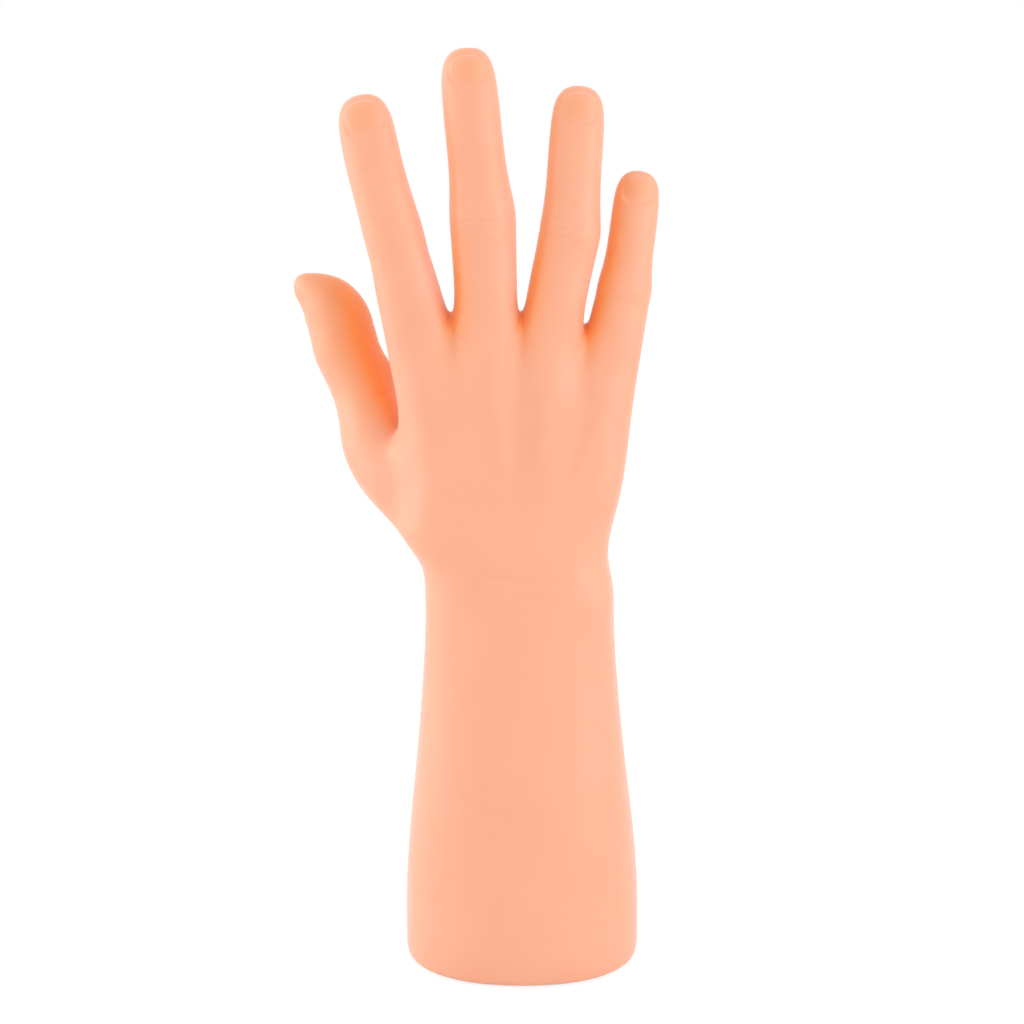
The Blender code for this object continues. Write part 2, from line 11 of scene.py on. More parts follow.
import bpy
import numpy as np
from mathutils.bvhtree import BVHTree
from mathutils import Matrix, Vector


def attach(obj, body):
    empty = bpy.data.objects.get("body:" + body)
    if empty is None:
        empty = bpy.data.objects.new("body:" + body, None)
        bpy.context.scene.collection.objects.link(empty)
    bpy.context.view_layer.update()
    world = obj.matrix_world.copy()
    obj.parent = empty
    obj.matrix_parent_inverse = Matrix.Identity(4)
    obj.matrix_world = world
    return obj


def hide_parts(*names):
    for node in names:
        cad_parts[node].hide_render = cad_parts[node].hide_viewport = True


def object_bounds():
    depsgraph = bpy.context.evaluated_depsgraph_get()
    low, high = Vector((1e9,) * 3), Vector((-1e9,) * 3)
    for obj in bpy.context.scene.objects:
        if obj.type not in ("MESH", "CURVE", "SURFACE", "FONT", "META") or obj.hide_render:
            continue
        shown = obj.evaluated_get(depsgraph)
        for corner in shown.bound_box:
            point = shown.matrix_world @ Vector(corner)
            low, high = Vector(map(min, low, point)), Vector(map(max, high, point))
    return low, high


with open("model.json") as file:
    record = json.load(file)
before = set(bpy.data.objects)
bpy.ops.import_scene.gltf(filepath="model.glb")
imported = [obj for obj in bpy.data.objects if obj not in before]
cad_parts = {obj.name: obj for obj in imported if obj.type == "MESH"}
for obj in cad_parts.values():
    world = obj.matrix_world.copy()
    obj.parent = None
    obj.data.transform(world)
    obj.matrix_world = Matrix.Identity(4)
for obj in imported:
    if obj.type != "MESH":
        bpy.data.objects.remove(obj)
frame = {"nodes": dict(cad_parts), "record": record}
cad_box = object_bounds()

MM = 0.001

# Moulded skin and its foot, as in the part
WALL = 2.5
RING_SWELL = 1 / 0.9024
SECTION_SWELL = 1.01
BASE_HALF_X = 40.3
BASE_HALF_Y = 38.5
FOOT_HEIGHT = 0.4
WRIST_HEIGHT = 116.0
FOREARM_SQUARENESS = 2.3
FOOT_ROWS = ((0.0, 10.2), (0.0, 3.7), (0.2, 0.8), (2.0, 0.0), (4.6, 0.0))
# Rings of the underside, from the foot in and up to the ledge: half axes across and deep, and height
UNDERSIDE = (
    (35.20, 33.40, 0.40),
    (34.92, 33.12, 0.48),
    (34.80, 33.00, 0.75),
    (34.80, 33.00, 3.80),
    (34.50, 32.70, 4.10),
    (30.10, 28.30, 4.10),
    (29.85, 28.05, 4.20),
    (29.80, 28.00, 4.45),
    (29.80, 28.00, 6.30),
    (30.10, 28.30, 6.60),
)
LEDGE_TOP = 6.6

# Forearm: share of the wrist's height, then of its flare from wrist to base, across and deep
FOREARM_FLARE = (
    (0.793, 0.21, 0.220),
    (0.586, 0.48, 0.455),
    (0.388, 0.82, 0.660),
    (0.207, 1.00, 0.810),
)

# Palm and wrist, as sections: height, left, right, back, front, squareness, line-up with the fingers
SECTIONS = (
    (85.0, -43.3, 37.3, -12.6, 16.5, 2.9, 1.00),
    (70.0, -41.0, 36.0, -14.2, 16.0, 2.8, 1.00),
    (50.0, -38.2, 33.9, -16.6, 17.5, 2.7, 0.90),
    (33.5, -43.9, 29.6, -19.6, 20.5, 2.5, 0.60),
    (23.0, -33.7, 28.8, -20.9, 21.6, 2.4, 0.40),
    (13.5, -33.1, 31.6, -21.8, 22.2, 2.3, 0.20),
    (0.0, -32.8, 31.0, -23.0, 23.4, 2.2, 0.00),
)
PALM_COLUMNS = 26
BACK_COLUMNS = 12
COLUMNS_AT_FINGERS = (-0.95, -0.77, -0.57, -0.46, -0.24, -0.02, 0.08, 0.27, 0.46, 0.58, 0.77, 0.95)
KNUCKLE_DROP = (2.5, 0.0, 3.0, 8.5)  # how far each knuckle lies below the middle finger's
KNUCKLE_FADE = 60.0  # height over which that arc of knuckles dies out below them
KNUCKLE_RISE = 1.6
KNUCKLE_GROOVE = 1.4

# Fleshy pads on the palm side: across, height, breadth, tallness and rise
PALM_PADS = (
    (-28.0, 44.0, 16.0, 26.0, 13.0),
    (21.0, 42.0, 13.0, 27.0, 4.5),
)

# Fingers: knuckle, middle joint, end joint and tip, then the widths at the web, middle joint and end joint
FINGERS = (
    ((-32.4, 3.0, 90.5), (-42.4, 3.0, 131.8), (-49.1, 5.0, 155.7), (-53.7, 8.5, 178.6), 22.2, 19.9, 18.8),
    ((-11.4, 1.5, 94.4), (-13.2, 2.0, 139.6), (-16.1, 4.0, 166.2), (-18.8, 8.0, 193.9), 21.4, 22.1, 18.8),
    ((6.3, 2.0, 89.0), (15.8, 2.5, 133.6), (17.2, 4.5, 156.5), (19.0, 8.0, 181.5), 20.4, 20.4, 18.0),
    ((27.5, 4.0, 81.9), (34.1, 5.0, 115.0), (36.6, 7.0, 132.9), (39.1, 10.5, 153.5), 19.4, 18.4, 15.6),
)
WEB_HEIGHTS = (106.1, 106.1, 106.4, 100.3)  # of each finger's root
WEB_SLOPE = 7.0  # the web falls this far towards the back of the hand
WEB_GAP = 1.8

# Depth of a finger as a share of its width
DEPTH_AT_WEB = 0.98
DEPTH_AT_JOINT = 0.90
DEPTH_AT_END = 0.85
DEPTH_AT_NAIL = 0.80

# Rings along a finger: bone, share of the way along it, shares of the three widths, and depth
FINGER_RINGS = (
    (0, 0.00, (0.96, 0.00, 0.00), DEPTH_AT_WEB),
    (0, 0.26, (0.97, 0.00, 0.00), DEPTH_AT_WEB),
    (0, 0.52, (0.49, 0.49, 0.00), DEPTH_AT_JOINT),
    (0, 0.78, (0.00, 0.98, 0.00), DEPTH_AT_JOINT),
    (1, 0.00, (0.00, 1.015, 0.00), DEPTH_AT_JOINT),
    (1, 0.20, (0.00, 0.51, 0.51), DEPTH_AT_JOINT),
    (1, 0.55, (0.00, 0.00, 1.01), DEPTH_AT_JOINT),
    (1, 0.88, (0.00, 0.00, 1.00), DEPTH_AT_END),
    (2, 0.12, (0.00, 0.00, 1.00), DEPTH_AT_END),
    (2, 0.40, (0.00, 0.00, 0.99), DEPTH_AT_NAIL),
)
# Rings near its tip: distance below the tip, width and depth, as shares of the width at the end joint
TIP_RINGS = (
    (0.46, 0.95, 0.760),
    (0.22, 0.81, 0.630),
    (0.05, 0.52, 0.355),
)
TIP_RISE = 0.6

# Thumb: its rings' middles, their reach to the nail side and to the pulp, and half their width
THUMB_RINGS = (
    ((-45.1, 15.0, 50.8), 13.0, 12.0, 15.5),
    ((-48.8, 19.5, 61.6), 15.0, 12.0, 13.6),
    ((-53.8, 22.5, 72.9), 9.4, 11.8, 11.8),
    ((-57.5, 24.5, 82.9), 9.8, 11.9, 11.8),
    ((-60.8, 25.5, 91.6), 11.6, 11.4, 11.2),
    ((-63.8, 26.0, 100.8), 9.8, 13.1, 11.2),
    ((-67.9, 26.3, 107.7), 8.4, 11.5, 10.6),
    ((-70.7, 26.4, 111.3), 7.0, 8.1, 8.8),
    ((-75.9, 26.4, 115.0), 4.5, 3.3, 5.2),
)
THUMB_ROOT = (-30.0, 8.0, 39.0)
THUMB_TIP = (-79.1, 26.4, 117.4)
THUMB_BACK = (-0.93, -0.37, 0.0)  # where the nail faces
THUMB_BACK_AT_ROOT = ((-0.6, -0.1, -0.8), (-0.87, -0.28, -0.25))  # and the first rings, as the thumb turns
# The web of skin between thumb and palm: how far it fills the fold that plain rings and sections would leave
FACING_PALM_COUNT = 3  # the last points of each thumb ring, which face the palm
THUMB_WEB_FILL = ((-5.0, -1.0, 5.5), (-3.0, -1.0, 2.0))  # for those of the thumb's first rings
TOP_WEB_FILL = (0.0, 0.0, 4.0)  # for the palm's points above the thumb
BACK_WEB_FILL = (-4.5, -3.5, 0.0)  # for the palm's side, between the thumb and the back of the hand
ABOVE_THUMB_COUNT = 1  # sections above those that the thumb leaves the palm's side between
AT_THUMB_COUNT = 3

# How finely the cage is smoothed, outside and inside
FIRST_LEVELS = 2
LAST_LEVELS = 2
INNER_LEVELS = 2
INNER_FOOT = LEDGE_TOP + 0.5  # the least height of the hollow's cage
THUMB = 5
THUMB_FREE_FROM = 2  # the first of its rings that stands clear of the palm
BOX_EASE = 0.4  # the finer form bends back over this distance before it reaches the part's own box

# Moulded nails, from index to little finger and thumb: start and end below the tip, half width, and share of
# the folds' depth
NAILS = (
    (3.0, 14.2, 6.7, 1.0),
    (3.6, 13.2, 6.3, 1.0),
    (3.0, 13.4, 6.2, 1.0),
    (2.2, 11.4, 5.1, 1.0),
    (0.6, 14.6, 7.0, 0.4),
)
NAIL_SUNK = 0.2  # how far the plate's sides lie under the skin beside them
NAIL_PROUD = 0.4  # the most that its free edge stands over the fingertip
NAIL_BEND = 0.012  # how much it bends down towards its free edge
FREE_CORNER = 0.62  # radius of its corners there and at its root, as shares of its half width
ROOT_CORNER = 0.84
BESIDE_NAIL = 0.88  # share of its half width where the skin beside it is measured
BEFORE_ROOT = 0.5  # and how far before its root
MEASURE_REACH = 0.8
NAIL_RIM = (-0.7, 0.4)  # distances from its outline, below 0 inside it, over which the plate ends
NAIL_TINT = (0.8, -3.5)  # and over which its tan comes in
FREE_SHARES = (0.2, 0.85)  # of its front half, over which the folds give way to the free edge
# Forms along its outline: height, distance from it and breadth
NAIL_FOLD = (0.14, 1.25, 0.95)
NAIL_GROOVE = (0.17, 0.0, 0.42)
UNDER_EDGE = (0.25, 0.7, 0.6)
THUMB_NAIL_FACES = (-0.99, 0.12, 0.0)
THUMB_JOINTS = (1, 2, 4)  # its rings at its root, its middle joint and its end joint

# Folds over the middle and end joints of each digit: depth at each
JOINT_FOLDS = ((0.13, 0.07), (0.25, 0.10), (0.17, 0.08), (0.12, 0.06), (0.17, 0.08))
JOINT_REACH = 2.0  # points this near to a joint show how wide it is
JOINT_SPREAD = 6.5  # of its slight swelling
FOLD_OFFSETS = (-4.9, -3.3, -0.9, 1.4, 3.2, 4.6)  # from the joint, on its back
FOLD_BREADTH = 0.6
FOLD_BOW = 0.3  # how much the outer folds curve round the joint
FOLD_STRAY = (0.35, 0.6, 2.1)  # how far a fold strays, its turn per mm across and from fold to fold
FOLD_SHARES = (0.62, 0.56, 0.50)  # of the joint's half width that the folds reach, in turn
FOLD_SIDESTEP = (0.8, 1.7)  # how far a fold's middle lies to one side, and its turn from fold to fold
PULP_FOLDS = ((-0.9, 1.0), (1.3, 0.75))  # on the front: distance from the joint and share of the depth
PULP_DEPTH = 1.6  # against the depth on the back
PULP_BREADTH = 0.65
PULP_STRAY = (0.25, 0.4)
JOINT_BACK = (0.15, 0.65)  # shares of the half width over which a place comes to lie on back or front
JOINT_FRONT = (0.25, -0.35)
LIP_SHARE = 0.15  # height of the lips beside a crease, as a share of its depth
LIP_PLACE = 2.0  # their distance and breadth, as shares of its breadth
LIP_BREADTH = 1.3

# Creases of the palm: points across and up above the wrist, then depth and breadth
PALM_CREASES = (
    (((-40, 80), (-31, 79), (-21, 70), (-14, 55), (-11, 38), (-13, 20)), 0.9, 1.3),
    (((-39, 79), (-26, 73), (-9, 66), (8, 57), (19, 45)), 0.7, 1.1),
    (((38, 66), (24, 68), (8, 72), (-5, 80), (-12, 88)), 0.8, 1.2),
    (((-30, 9), (-14, 6.5), (2, 6), (16, 7), (29, 10)), 0.55, 1.1),
    (((-29, 14), (-13, 11.5), (2, 11), (15, 12), (28, 14.5)), 0.35, 0.9),
)
BACK_CREASES = (
    (((-19, 23), (-6, 20.5), (8, 20.5), (20, 23), (26, 26)), 0.30, 1.5),
    (((-14, 17.5), (0, 15.5), (14, 16.5), (24, 19)), 0.16, 1.3),
)
LINE_STEPS = 12  # straight runs between two points of such a line
CREASE_ENDS = (0.16, 0.84)  # shares of its length between which a crease has its full depth
# Tendons that stand out a little from the knuckles to the wrist
TENDONS = (
    ((-31, 86), (-24, 66), (-16, 40)),
    ((-11, 90), (-8, 68), (-5, 40)),
    ((8, 85), (6, 66), (4, 40)),
    ((27, 77), (20, 60), (13, 40)),
)
# Hollows below the webs, between the knuckles: points across and up
WEB_HOLLOWS = (
    ((-24.3, 103), (-23.0, 95), (-21.5, 84)),
    ((-1.2, 103), (-1.4, 95), (-1.6, 83)),
    ((19.8, 99), (18.8, 91), (17.2, 79)),
)
# Rise and breadth, and the shares of a line's length where it is faded in and starts to fade out
TENDON_FORM = (0.5, 2.6, (0.25, 0.5))
HOLLOW_FORM = (-0.9, 3.6, (0.45, 0.3))
# Rounded bumps on the back: across, height above the wrist, spread and rise
BACK_BUMPS = (
    (-32.0, 88.0, 7.0, 0.5),
    (-11.8, 92.5, 7.5, 0.7),
    (8.0, 87.5, 7.0, 0.7),
    (27.5, 79.5, 6.5, 0.6),
    (25.0, 11.0, 9.0, 1.5),
)
THUMB_BULGE = ((-44.0, 27.0, 84.0), 5.0, 1.8)  # place, spread and rise of the joint's side towards the palm
FINE_FROM = -12.0  # height above the wrist where the fine forms of palm and back start
FACING = (0.1, 0.6)  # parts of the normal over which a place comes to face front or back
OWN = (0.5, 0.95)  # how far a point belongs to its digit where the digit's folds start and are full

# The fold between thumb and palm, and the shade, are evened out towards their neighbours' mean
EVEN_SHARE = 0.5
SHADE_ROUNDS = 9
FOLD_ROUNDS = 30
FOLD_PLACE = (-43.0, 4.0, 66.0)
FOLD_REACH = 11.0

# How the hand shades itself, for the painted shade: lines of sight from each point, their reach, the lamps
# and their strengths
SIGHT_LINES = 64
SIGHT_REACH = 70.0
SIGHT_START = 0.3  # off the surface
SIGHT_TURN = (0.31, 0.95, 0.05)  # where they are turned to, which is no point's normal
SHADE_LAMPS = (((-1.0, 0.0, 0.2), 4.0), ((0.65, -0.75, 0.2), 5.0))
SHADE_FOCUS = 4  # power of the cosine towards a lamp
SHADED_FROM = 20.0  # height above the wrist
FACING_RIGHT = (0.1, 0.7)
LIT_SIDES = ((84, 1.0), (100, 1.9))  # heights, and how much painted shade the sides facing right lose there; beyond 1 they turn to paler painted light
WEB_REACH = 8.0  # round the webs, where such sides keep it
THUMB_SIDE = (-32, -40)  # across and up: where the palm's shade turns into the thumb's
THUMB_TOP = (92, 76)
THUMB_RIGHT = 0.24  # painted shade that the thumb's right side gains
THUMB_TURN = 0.6  # share that its left side loses
THUMB_LEFT = (0.5, -0.5)
THUMB_PAINTED_SHADE_TURN = (-0.9, -0.3)  # over which its painted shade comes in as it turns from the left-hand lamp
# Heights, and how much of the shade is kept there, on the fingers and on the thumb
FINGER_DEPTHS = ((96, 0.95), (104, 1.05), (120, 1.05), (140, 0.65))
THUMB_DEPTHS = ((60, 0.1), (68, 0.3), (76, 0.65), (84, 0.95), (94, 0.95), (108, 0.65))

# The skin's plain colour, and the tones laid over it in turn, the nails' tint and painted shade and light:
# the layer that brings each one in, its share at the first and the last of two values of that layer, those
# values, and the tone
SKIN_PLAIN = ((0.3, (0.885, 0.397, 0.245)), (0.7, (0.895, 0.416, 0.260)))
TINT_AND_PAINTED_LIGHT_TONES = (
    # The nails' own tint, and painted shade on the thumb's sides that turn away from the left-hand lamp
    ("tan", 0.0, 0.8, 0.0, 1.0, (0.890, 0.382, 0.200)),
    # Painted light: paler where the shade falls below 0, on sides that face the right-hand lamp
    ("shade", 1.0, 0.0, -0.3, 0.0, (0.930, 0.500, 0.365)),
    # Painted shade: deep orange where the hand keeps light off itself, and deeper still where it keeps off
    # most
    ("shade", 0.0, 1.0, 0.02, 0.42, (1.0, 0.345, 0.108)),
    ("shade", 0.0, 1.0, 0.42, 0.85, (1.0, 0.305, 0.075)),
)

EDGE_STEPS = 2
EDGE_ANGLE = 40  # degrees; flatter edges of the base's pieces aren't rounded

FLOOR_REACH = 6000.0
FLOOR_LEVEL = -0.02  # just under the pad, whose face would otherwise lie in the floor's
FLOOR_GREY = 0.82
FLOOR_SEEN_GREY = 0.22  # as the camera sees it, together with a glow that makes it nearly white
FLOOR_GLOW = 0.83
WORLD_LIGHT = 0.95
SOFT_BOXES = (("left_box", (-1.08, 0.0, 0.39), 5.5), ("right_box", (0.93, -0.54, 0.39), 4.2))  # place, power
SOFT_BOX_SIZE = (0.7, 1.0)
SOFT_BOX_AIM = (0, 0, 0.16)
CAMERA_PLACE = (-0.0035, -0.78, 0.32)
CAMERA_DOWN = 11.9  # degrees
CAMERA_LENS = 82.9
CAMERA_SENSOR = 36.0


def unit(vector):
    return np.asarray(vector, float) / np.linalg.norm(vector)


def ring_of_eight(middle, along, back, half_width, half_back, half_front):
    """Points round a finger: left, back left, back, back right, right, front right, front, front left."""
    along = unit(along)
    back = unit(np.asarray(back, float) - np.dot(back, along) * along)
    right = np.cross(along, back)
    points = []
    for degrees in range(180, -180, -45):
        across = math.cos(math.radians(degrees))
        rise = math.sin(math.radians(degrees))
        depth = half_back if rise > 0 else half_front
        points.append(middle + RING_SWELL * (right * across * half_width + back * rise * depth))
    return points


def along_finger(joints, place):
    """The point and direction at a place such as 1.5, half way from the second joint to the third."""
    step = min(int(place), len(joints) - 2)
    share = place - step
    point = joints[step] + share * (joints[step + 1] - joints[step])
    runs = [unit(joints[i + 1] - joints[i]) for i in range(len(joints) - 1)]
    before = runs[max(step - 1, 0)]
    after = runs[min(step + 1, len(runs) - 1)]
    if share < 0.5:
        direction = (0.5 - share) * before + (0.5 + share) * runs[step]
    else:
        direction = (1.5 - share) * runs[step] + (share - 0.5) * after
    return point, unit(direction)


def lifted(point):
    """A point of the hand's tables, whose height is above the wrist, in the part's own frame."""
    return np.array(point, float) + (0, 0, WRIST_HEIGHT)


def finger_rings(finger, web_height):
    """Rings of eight from the web to the tip, and the tip's own point."""
    joints = [np.array(p, float) for p in finger[:4]]
    widths = np.array(finger[4:])
    web_share = (web_height - joints[0][2]) / (joints[1][2] - joints[0][2])
    joints[0] += web_share * (joints[1] - joints[0])
    end_width = widths[2]
    length_of_end = np.linalg.norm(joints[3] - joints[2])
    stations = []
    for bone, share, shares_of_width, depth in FINGER_RINGS:
        width = np.dot(shares_of_width, widths)
        stations.append((bone + share, width, width * depth))
    for below_tip, width_share, depth_share in TIP_RINGS:
        place = 3.0 - below_tip * end_width / length_of_end
        stations.append((place, end_width * width_share, end_width * depth_share))
    rings = []
    for place, width, depth in stations:
        middle, direction = along_finger(joints, place)
        half_depth = 0.5 * depth
        ring = ring_of_eight(lifted(middle), direction, (0, -1, 0), 0.5 * width, half_depth, half_depth)
        rings.append(ring)
    tip = joints[3] + TIP_RISE * unit(joints[3] - joints[2])
    return rings, lifted(tip)


def thumb_rings():
    """Rings of eight from the palm's side to the thumb's tip, and the tip's own point."""
    rings = []
    middles = [lifted(p) for p in (THUMB_ROOT, *(ring[0] for ring in THUMB_RINGS), THUMB_TIP)]
    backs = THUMB_BACK_AT_ROOT + (THUMB_BACK,) * (len(THUMB_RINGS) - len(THUMB_BACK_AT_ROOT))
    for number, (_, to_nail, to_pulp, half_width) in enumerate(THUMB_RINGS):
        direction = middles[number + 2] - middles[number]
        middle = middles[number + 1]
        rings.append(ring_of_eight(middle, direction, backs[number], half_width, to_nail, to_pulp))
    for ring, fill in zip(rings, THUMB_WEB_FILL):
        for k in range(-FACING_PALM_COUNT, 0):
            ring[k] += fill
    return rings, middles[-1]


def pad_rise(x, height):
    """How far the palm's fleshy pads stand out at a place."""
    rise = 0.0
    for across, level, breadth, tallness, most in PALM_PADS:
        rise += most * math.exp(-((x - across) / breadth) ** 2 - ((height - level) / tallness) ** 2)
    return rise


def section_points(section):
    """The twenty-six points of a section, from the thumb side round the back and the front."""
    height, left, right, back, front, squareness, line_up = section
    middle = 0.5 * (left + right)
    half = 0.5 * (right - left)
    level = 0.5 * (back + front)
    half_depth = 0.5 * (front - back)
    lift = max(0.0, 1.0 - (SECTIONS[0][0] - height) / KNUCKLE_FADE)
    points = []
    for column in range(PALM_COLUMNS):
        on_back = 1 <= column <= BACK_COLUMNS
        on_side = column in (0, BACK_COLUMNS + 1)
        place = column if column <= BACK_COLUMNS + 1 else PALM_COLUMNS - column
        even = -math.cos(math.pi * place / (BACK_COLUMNS + 1))
        lined = even if on_side else COLUMNS_AT_FINGERS[place - 1]
        across = line_up * lined + (1 - line_up) * even
        depth = (1 - abs(across) ** squareness) ** (1 / squareness)
        ray = min(max((place - 1) // 3, 0), 3)
        rise = lift * (KNUCKLE_RISE if (place - 1) % 3 == 1 else -KNUCKLE_GROOVE)
        x = middle + half * SECTION_SWELL * across
        if on_side:
            y = level
        elif on_back:
            y = level - (half_depth * SECTION_SWELL + rise) * depth
        else:
            y = level + half_depth * SECTION_SWELL * depth + pad_rise(x, height)
        points.append(lifted((x, y, height - lift * KNUCKLE_DROP[ray])))
    return points


def forearm_sections():
    """Sections between the wrist and the base, which flare from the one to the other."""
    _, left, right, back, front, _, _ = SECTIONS[-1]
    sections = []
    for share_of_height, across, deep in FOREARM_FLARE:
        sections.append(((share_of_height - 1) * WRIST_HEIGHT,
                         left - across * (BASE_HALF_X + left), right + across * (BASE_HALF_X - right),
                         back - deep * (BASE_HALF_Y + back), front + deep * (BASE_HALF_Y - front),
                         FOREARM_SQUARENESS, 0.0))
    return sections


def foot_sections():
    """Sections that turn the foot of the forearm in under itself, to a flat rim."""
    sections = []
    for inset, height in FOOT_ROWS:
        x = BASE_HALF_X - inset
        y = BASE_HALF_Y - inset
        level = FOOT_HEIGHT + height - WRIST_HEIGHT
        sections.append((level, -x, x, -y, y, FOREARM_SQUARENESS, 0.0))
    return sections


class Cage:
    """The coarse surface of the hand, whose points are shared between neighbouring faces."""

    def __init__(self):
        self.points = []
        self.faces = []
        self.digits = []

    def add(self, points, digit=0):
        """New points, of the palm or of one of the digits 1 to 5."""
        first = len(self.points)
        self.points.extend(points)
        self.digits.extend([digit] * len(points))
        return list(range(first, len(self.points)))

    def join(self, low, high, skip=()):
        """Quads between two closed rings."""
        count = len(low)
        for k in range(count):
            if k not in skip:
                after = (k + 1) % count
                self.faces.append((low[k], low[after], high[after], high[k]))

    def close_tip(self, ring, tip, digit):
        centre = self.add([tip], digit)[0]
        for k in (0, 2, 4, 6):
            self.faces.append((ring[(k + 6) % 8], ring[(k + 7) % 8], ring[k], centre))


def finger_roots(cage):
    """Each finger's root ring, with the webs between neighbours, and the rest of the finger above it."""
    roots = []
    for digit, (finger, web_height) in enumerate(zip(FINGERS, WEB_HEIGHTS), 1):
        rings, tip = finger_rings(finger, web_height)
        root = [np.array(p) for p in rings[0]]
        for k in (1, 2, 3):
            root[k][2] -= WEB_SLOPE
        below = cage.add(root)
        roots.append(below)
        for ring in rings[1:]:
            above = cage.add(ring, digit)
            cage.join(below, above)
            below = above
        cage.close_tip(below, tip, digit)
    return roots


def join_webs(cage, roots):
    """Parts neighbouring roots by the web's width, and lays the web's floor between them."""
    for number in range(3):
        left_root = roots[number]
        right_root = roots[number + 1]
        for on_left, on_right in ((3, 1), (4, 0), (5, 7)):
            a = np.array(cage.points[left_root[on_left]])
            b = np.array(cage.points[right_root[on_right]])
            middle = 0.5 * (a + b)
            half_gap = np.array([0.5 * WEB_GAP, 0, 0])
            cage.points[left_root[on_left]] = middle - half_gap
            cage.points[right_root[on_right]] = middle + half_gap
        cage.faces.append((left_root[3], right_root[1], right_root[0], left_root[4]))
        cage.faces.append((left_root[4], right_root[0], right_root[7], left_root[5]))


def palm_top(roots):
    """The roots' outer points, in the order of a palm section's columns."""
    top = [roots[0][0]]
    for root in roots:
        top.extend(root[k] for k in (1, 2, 3))
    top.append(roots[3][4])
    for root in reversed(roots):
        top.extend(root[k] for k in (5, 6, 7))
    return top


def hand_cage():
    """The coarse surface of hand and forearm, open at the foot: its points, faces and each point's digit."""
    cage = Cage()
    roots = finger_roots(cage)
    join_webs(cage, roots)
    above = palm_top(roots)
    sections = []
    thumb_columns = (PALM_COLUMNS - 2, PALM_COLUMNS - 1)
    for number, section in enumerate((*SECTIONS, *forearm_sections(), *foot_sections())):
        ring = cage.add(section_points(section))
        at_thumb = ABOVE_THUMB_COUNT < number < ABOVE_THUMB_COUNT + AT_THUMB_COUNT
        cage.join(ring, above, skip=thumb_columns if at_thumb else ())
        sections.append(ring)
        above = ring
    top, mid, low = sections[ABOVE_THUMB_COUNT:ABOVE_THUMB_COUNT + AT_THUMB_COUNT]
    palmar, outer, side = (*thumb_columns, 0)
    for point in (top[side], top[outer], top[palmar]):
        cage.points[point] += TOP_WEB_FILL
    cage.points[mid[side]] += BACK_WEB_FILL
    below = [mid[palmar], low[palmar], low[outer], low[side], mid[side], top[side], top[outer], top[palmar]]
    rings, tip = thumb_rings()
    for number, ring in enumerate(rings):
        above = cage.add(ring, THUMB if number >= THUMB_FREE_FROM else 0)
        cage.join(below, above)
        below = above
    cage.close_tip(below, tip, THUMB)
    return np.array(cage.points, float), cage.faces, np.array(cage.digits)


def smoothstep(low, high, x):
    """0 at the low end, 1 at the high end and a soft curve between."""
    t = np.clip((x - low) / (high - low), 0.0, 1.0)
    return t * t * (3 - 2 * t)


def bell(x, breadth):
    return np.exp(-(x / breadth) ** 2)


def crease(distance, depth, breadth):
    """A soft groove with a low lip along each side."""
    lips = bell(np.abs(distance) - LIP_PLACE * breadth, LIP_BREADTH * breadth)
    return depth * (LIP_SHARE * lips - bell(distance, breadth))


def along_line(where, ends):
    """1 along a line and 0 at its two ends."""
    return smoothstep(0, ends[0], where) * smoothstep(1, ends[1], where)


def smooth_line(points):
    """A curve through the points, as many short straight runs."""
    p = np.array(points, float)
    p = np.concatenate([[2 * p[0] - p[1]], p, [2 * p[-1] - p[-2]]])
    line = []
    for k in range(1, len(p) - 2):
        a, b, c, d = p[k - 1:k + 3]
        for t in np.linspace(0, 1, LINE_STEPS, endpoint=False):
            line.append(0.5 * (2 * b + (c - a) * t + (2 * a - 5 * b + 4 * c - d) * t ** 2
                               + (3 * b - a - 3 * c + d) * t ** 3))
    line.append(p[-2])
    return np.array(line)


def distance_to_line(points, line):
    """Least distance of each point to the line, and how far along the line that is, from 0 to 1."""
    best = np.full(len(points), np.inf)
    where = np.zeros(len(points))
    for k in range(len(line) - 1):
        step = line[k + 1] - line[k]
        t = np.clip((points - line[k]) @ step / (step @ step), 0.0, 1.0)
        far = np.linalg.norm(points - (line[k] + t[:, None] * step), axis=1)
        nearer = far < best
        best = np.where(nearer, far, best)
        where = np.where(nearer, (k + t) / (len(line) - 1), where)
    return best, where


class Digit:
    """Places on a finger or thumb: how far below its tip, how far across it, and how far towards its nail."""

    def __init__(self, joints, back):
        self.joints = np.array([lifted(p) for p in joints])
        self.back = np.array(back, float)
        self.lengths = np.linalg.norm(np.diff(self.joints, axis=0), axis=1)

    def below_tip(self, joint):
        return self.lengths[joint:].sum()

    def places(self, points):
        """Those three of each point, and which way the back faces there."""
        best = np.full(len(points), np.inf)
        found = np.zeros((3, len(points)))
        backs = np.zeros((len(points), 3))
        last = len(self.lengths) - 1
        for k, length in enumerate(self.lengths):
            along = unit(self.joints[k + 1] - self.joints[k])
            back = unit(self.back - (self.back @ along) * along)
            right = np.cross(along, back)
            off = points - self.joints[k]
            t = np.clip(off @ along, -np.inf if k == 0 else 0.0, np.inf if k == last else length)
            off -= t[:, None] * along
            far = np.linalg.norm(off, axis=1)
            nearer = far < best
            best = np.where(nearer, far, best)
            found = np.where(nearer, (self.below_tip(k) - t, off @ right, off @ back), found)
            backs[nearer] = back
        return *found, backs


def nail_edge(across, along, half_width, half_length):
    """Signed distance to a nail's outline, which is rounder at its free end than at its root."""
    corner = np.where(along > 0, FREE_CORNER * half_width, ROOT_CORNER * half_width)
    a = np.abs(across) - half_width + corner
    b = np.abs(along) - half_length + corner
    outside = np.hypot(np.maximum(a, 0), np.maximum(b, 0))
    return np.minimum(np.maximum(a, b), 0) + outside - corner


def ridge(edge, form):
    rise, place, breadth = form
    return rise * bell(edge - place, breadth)


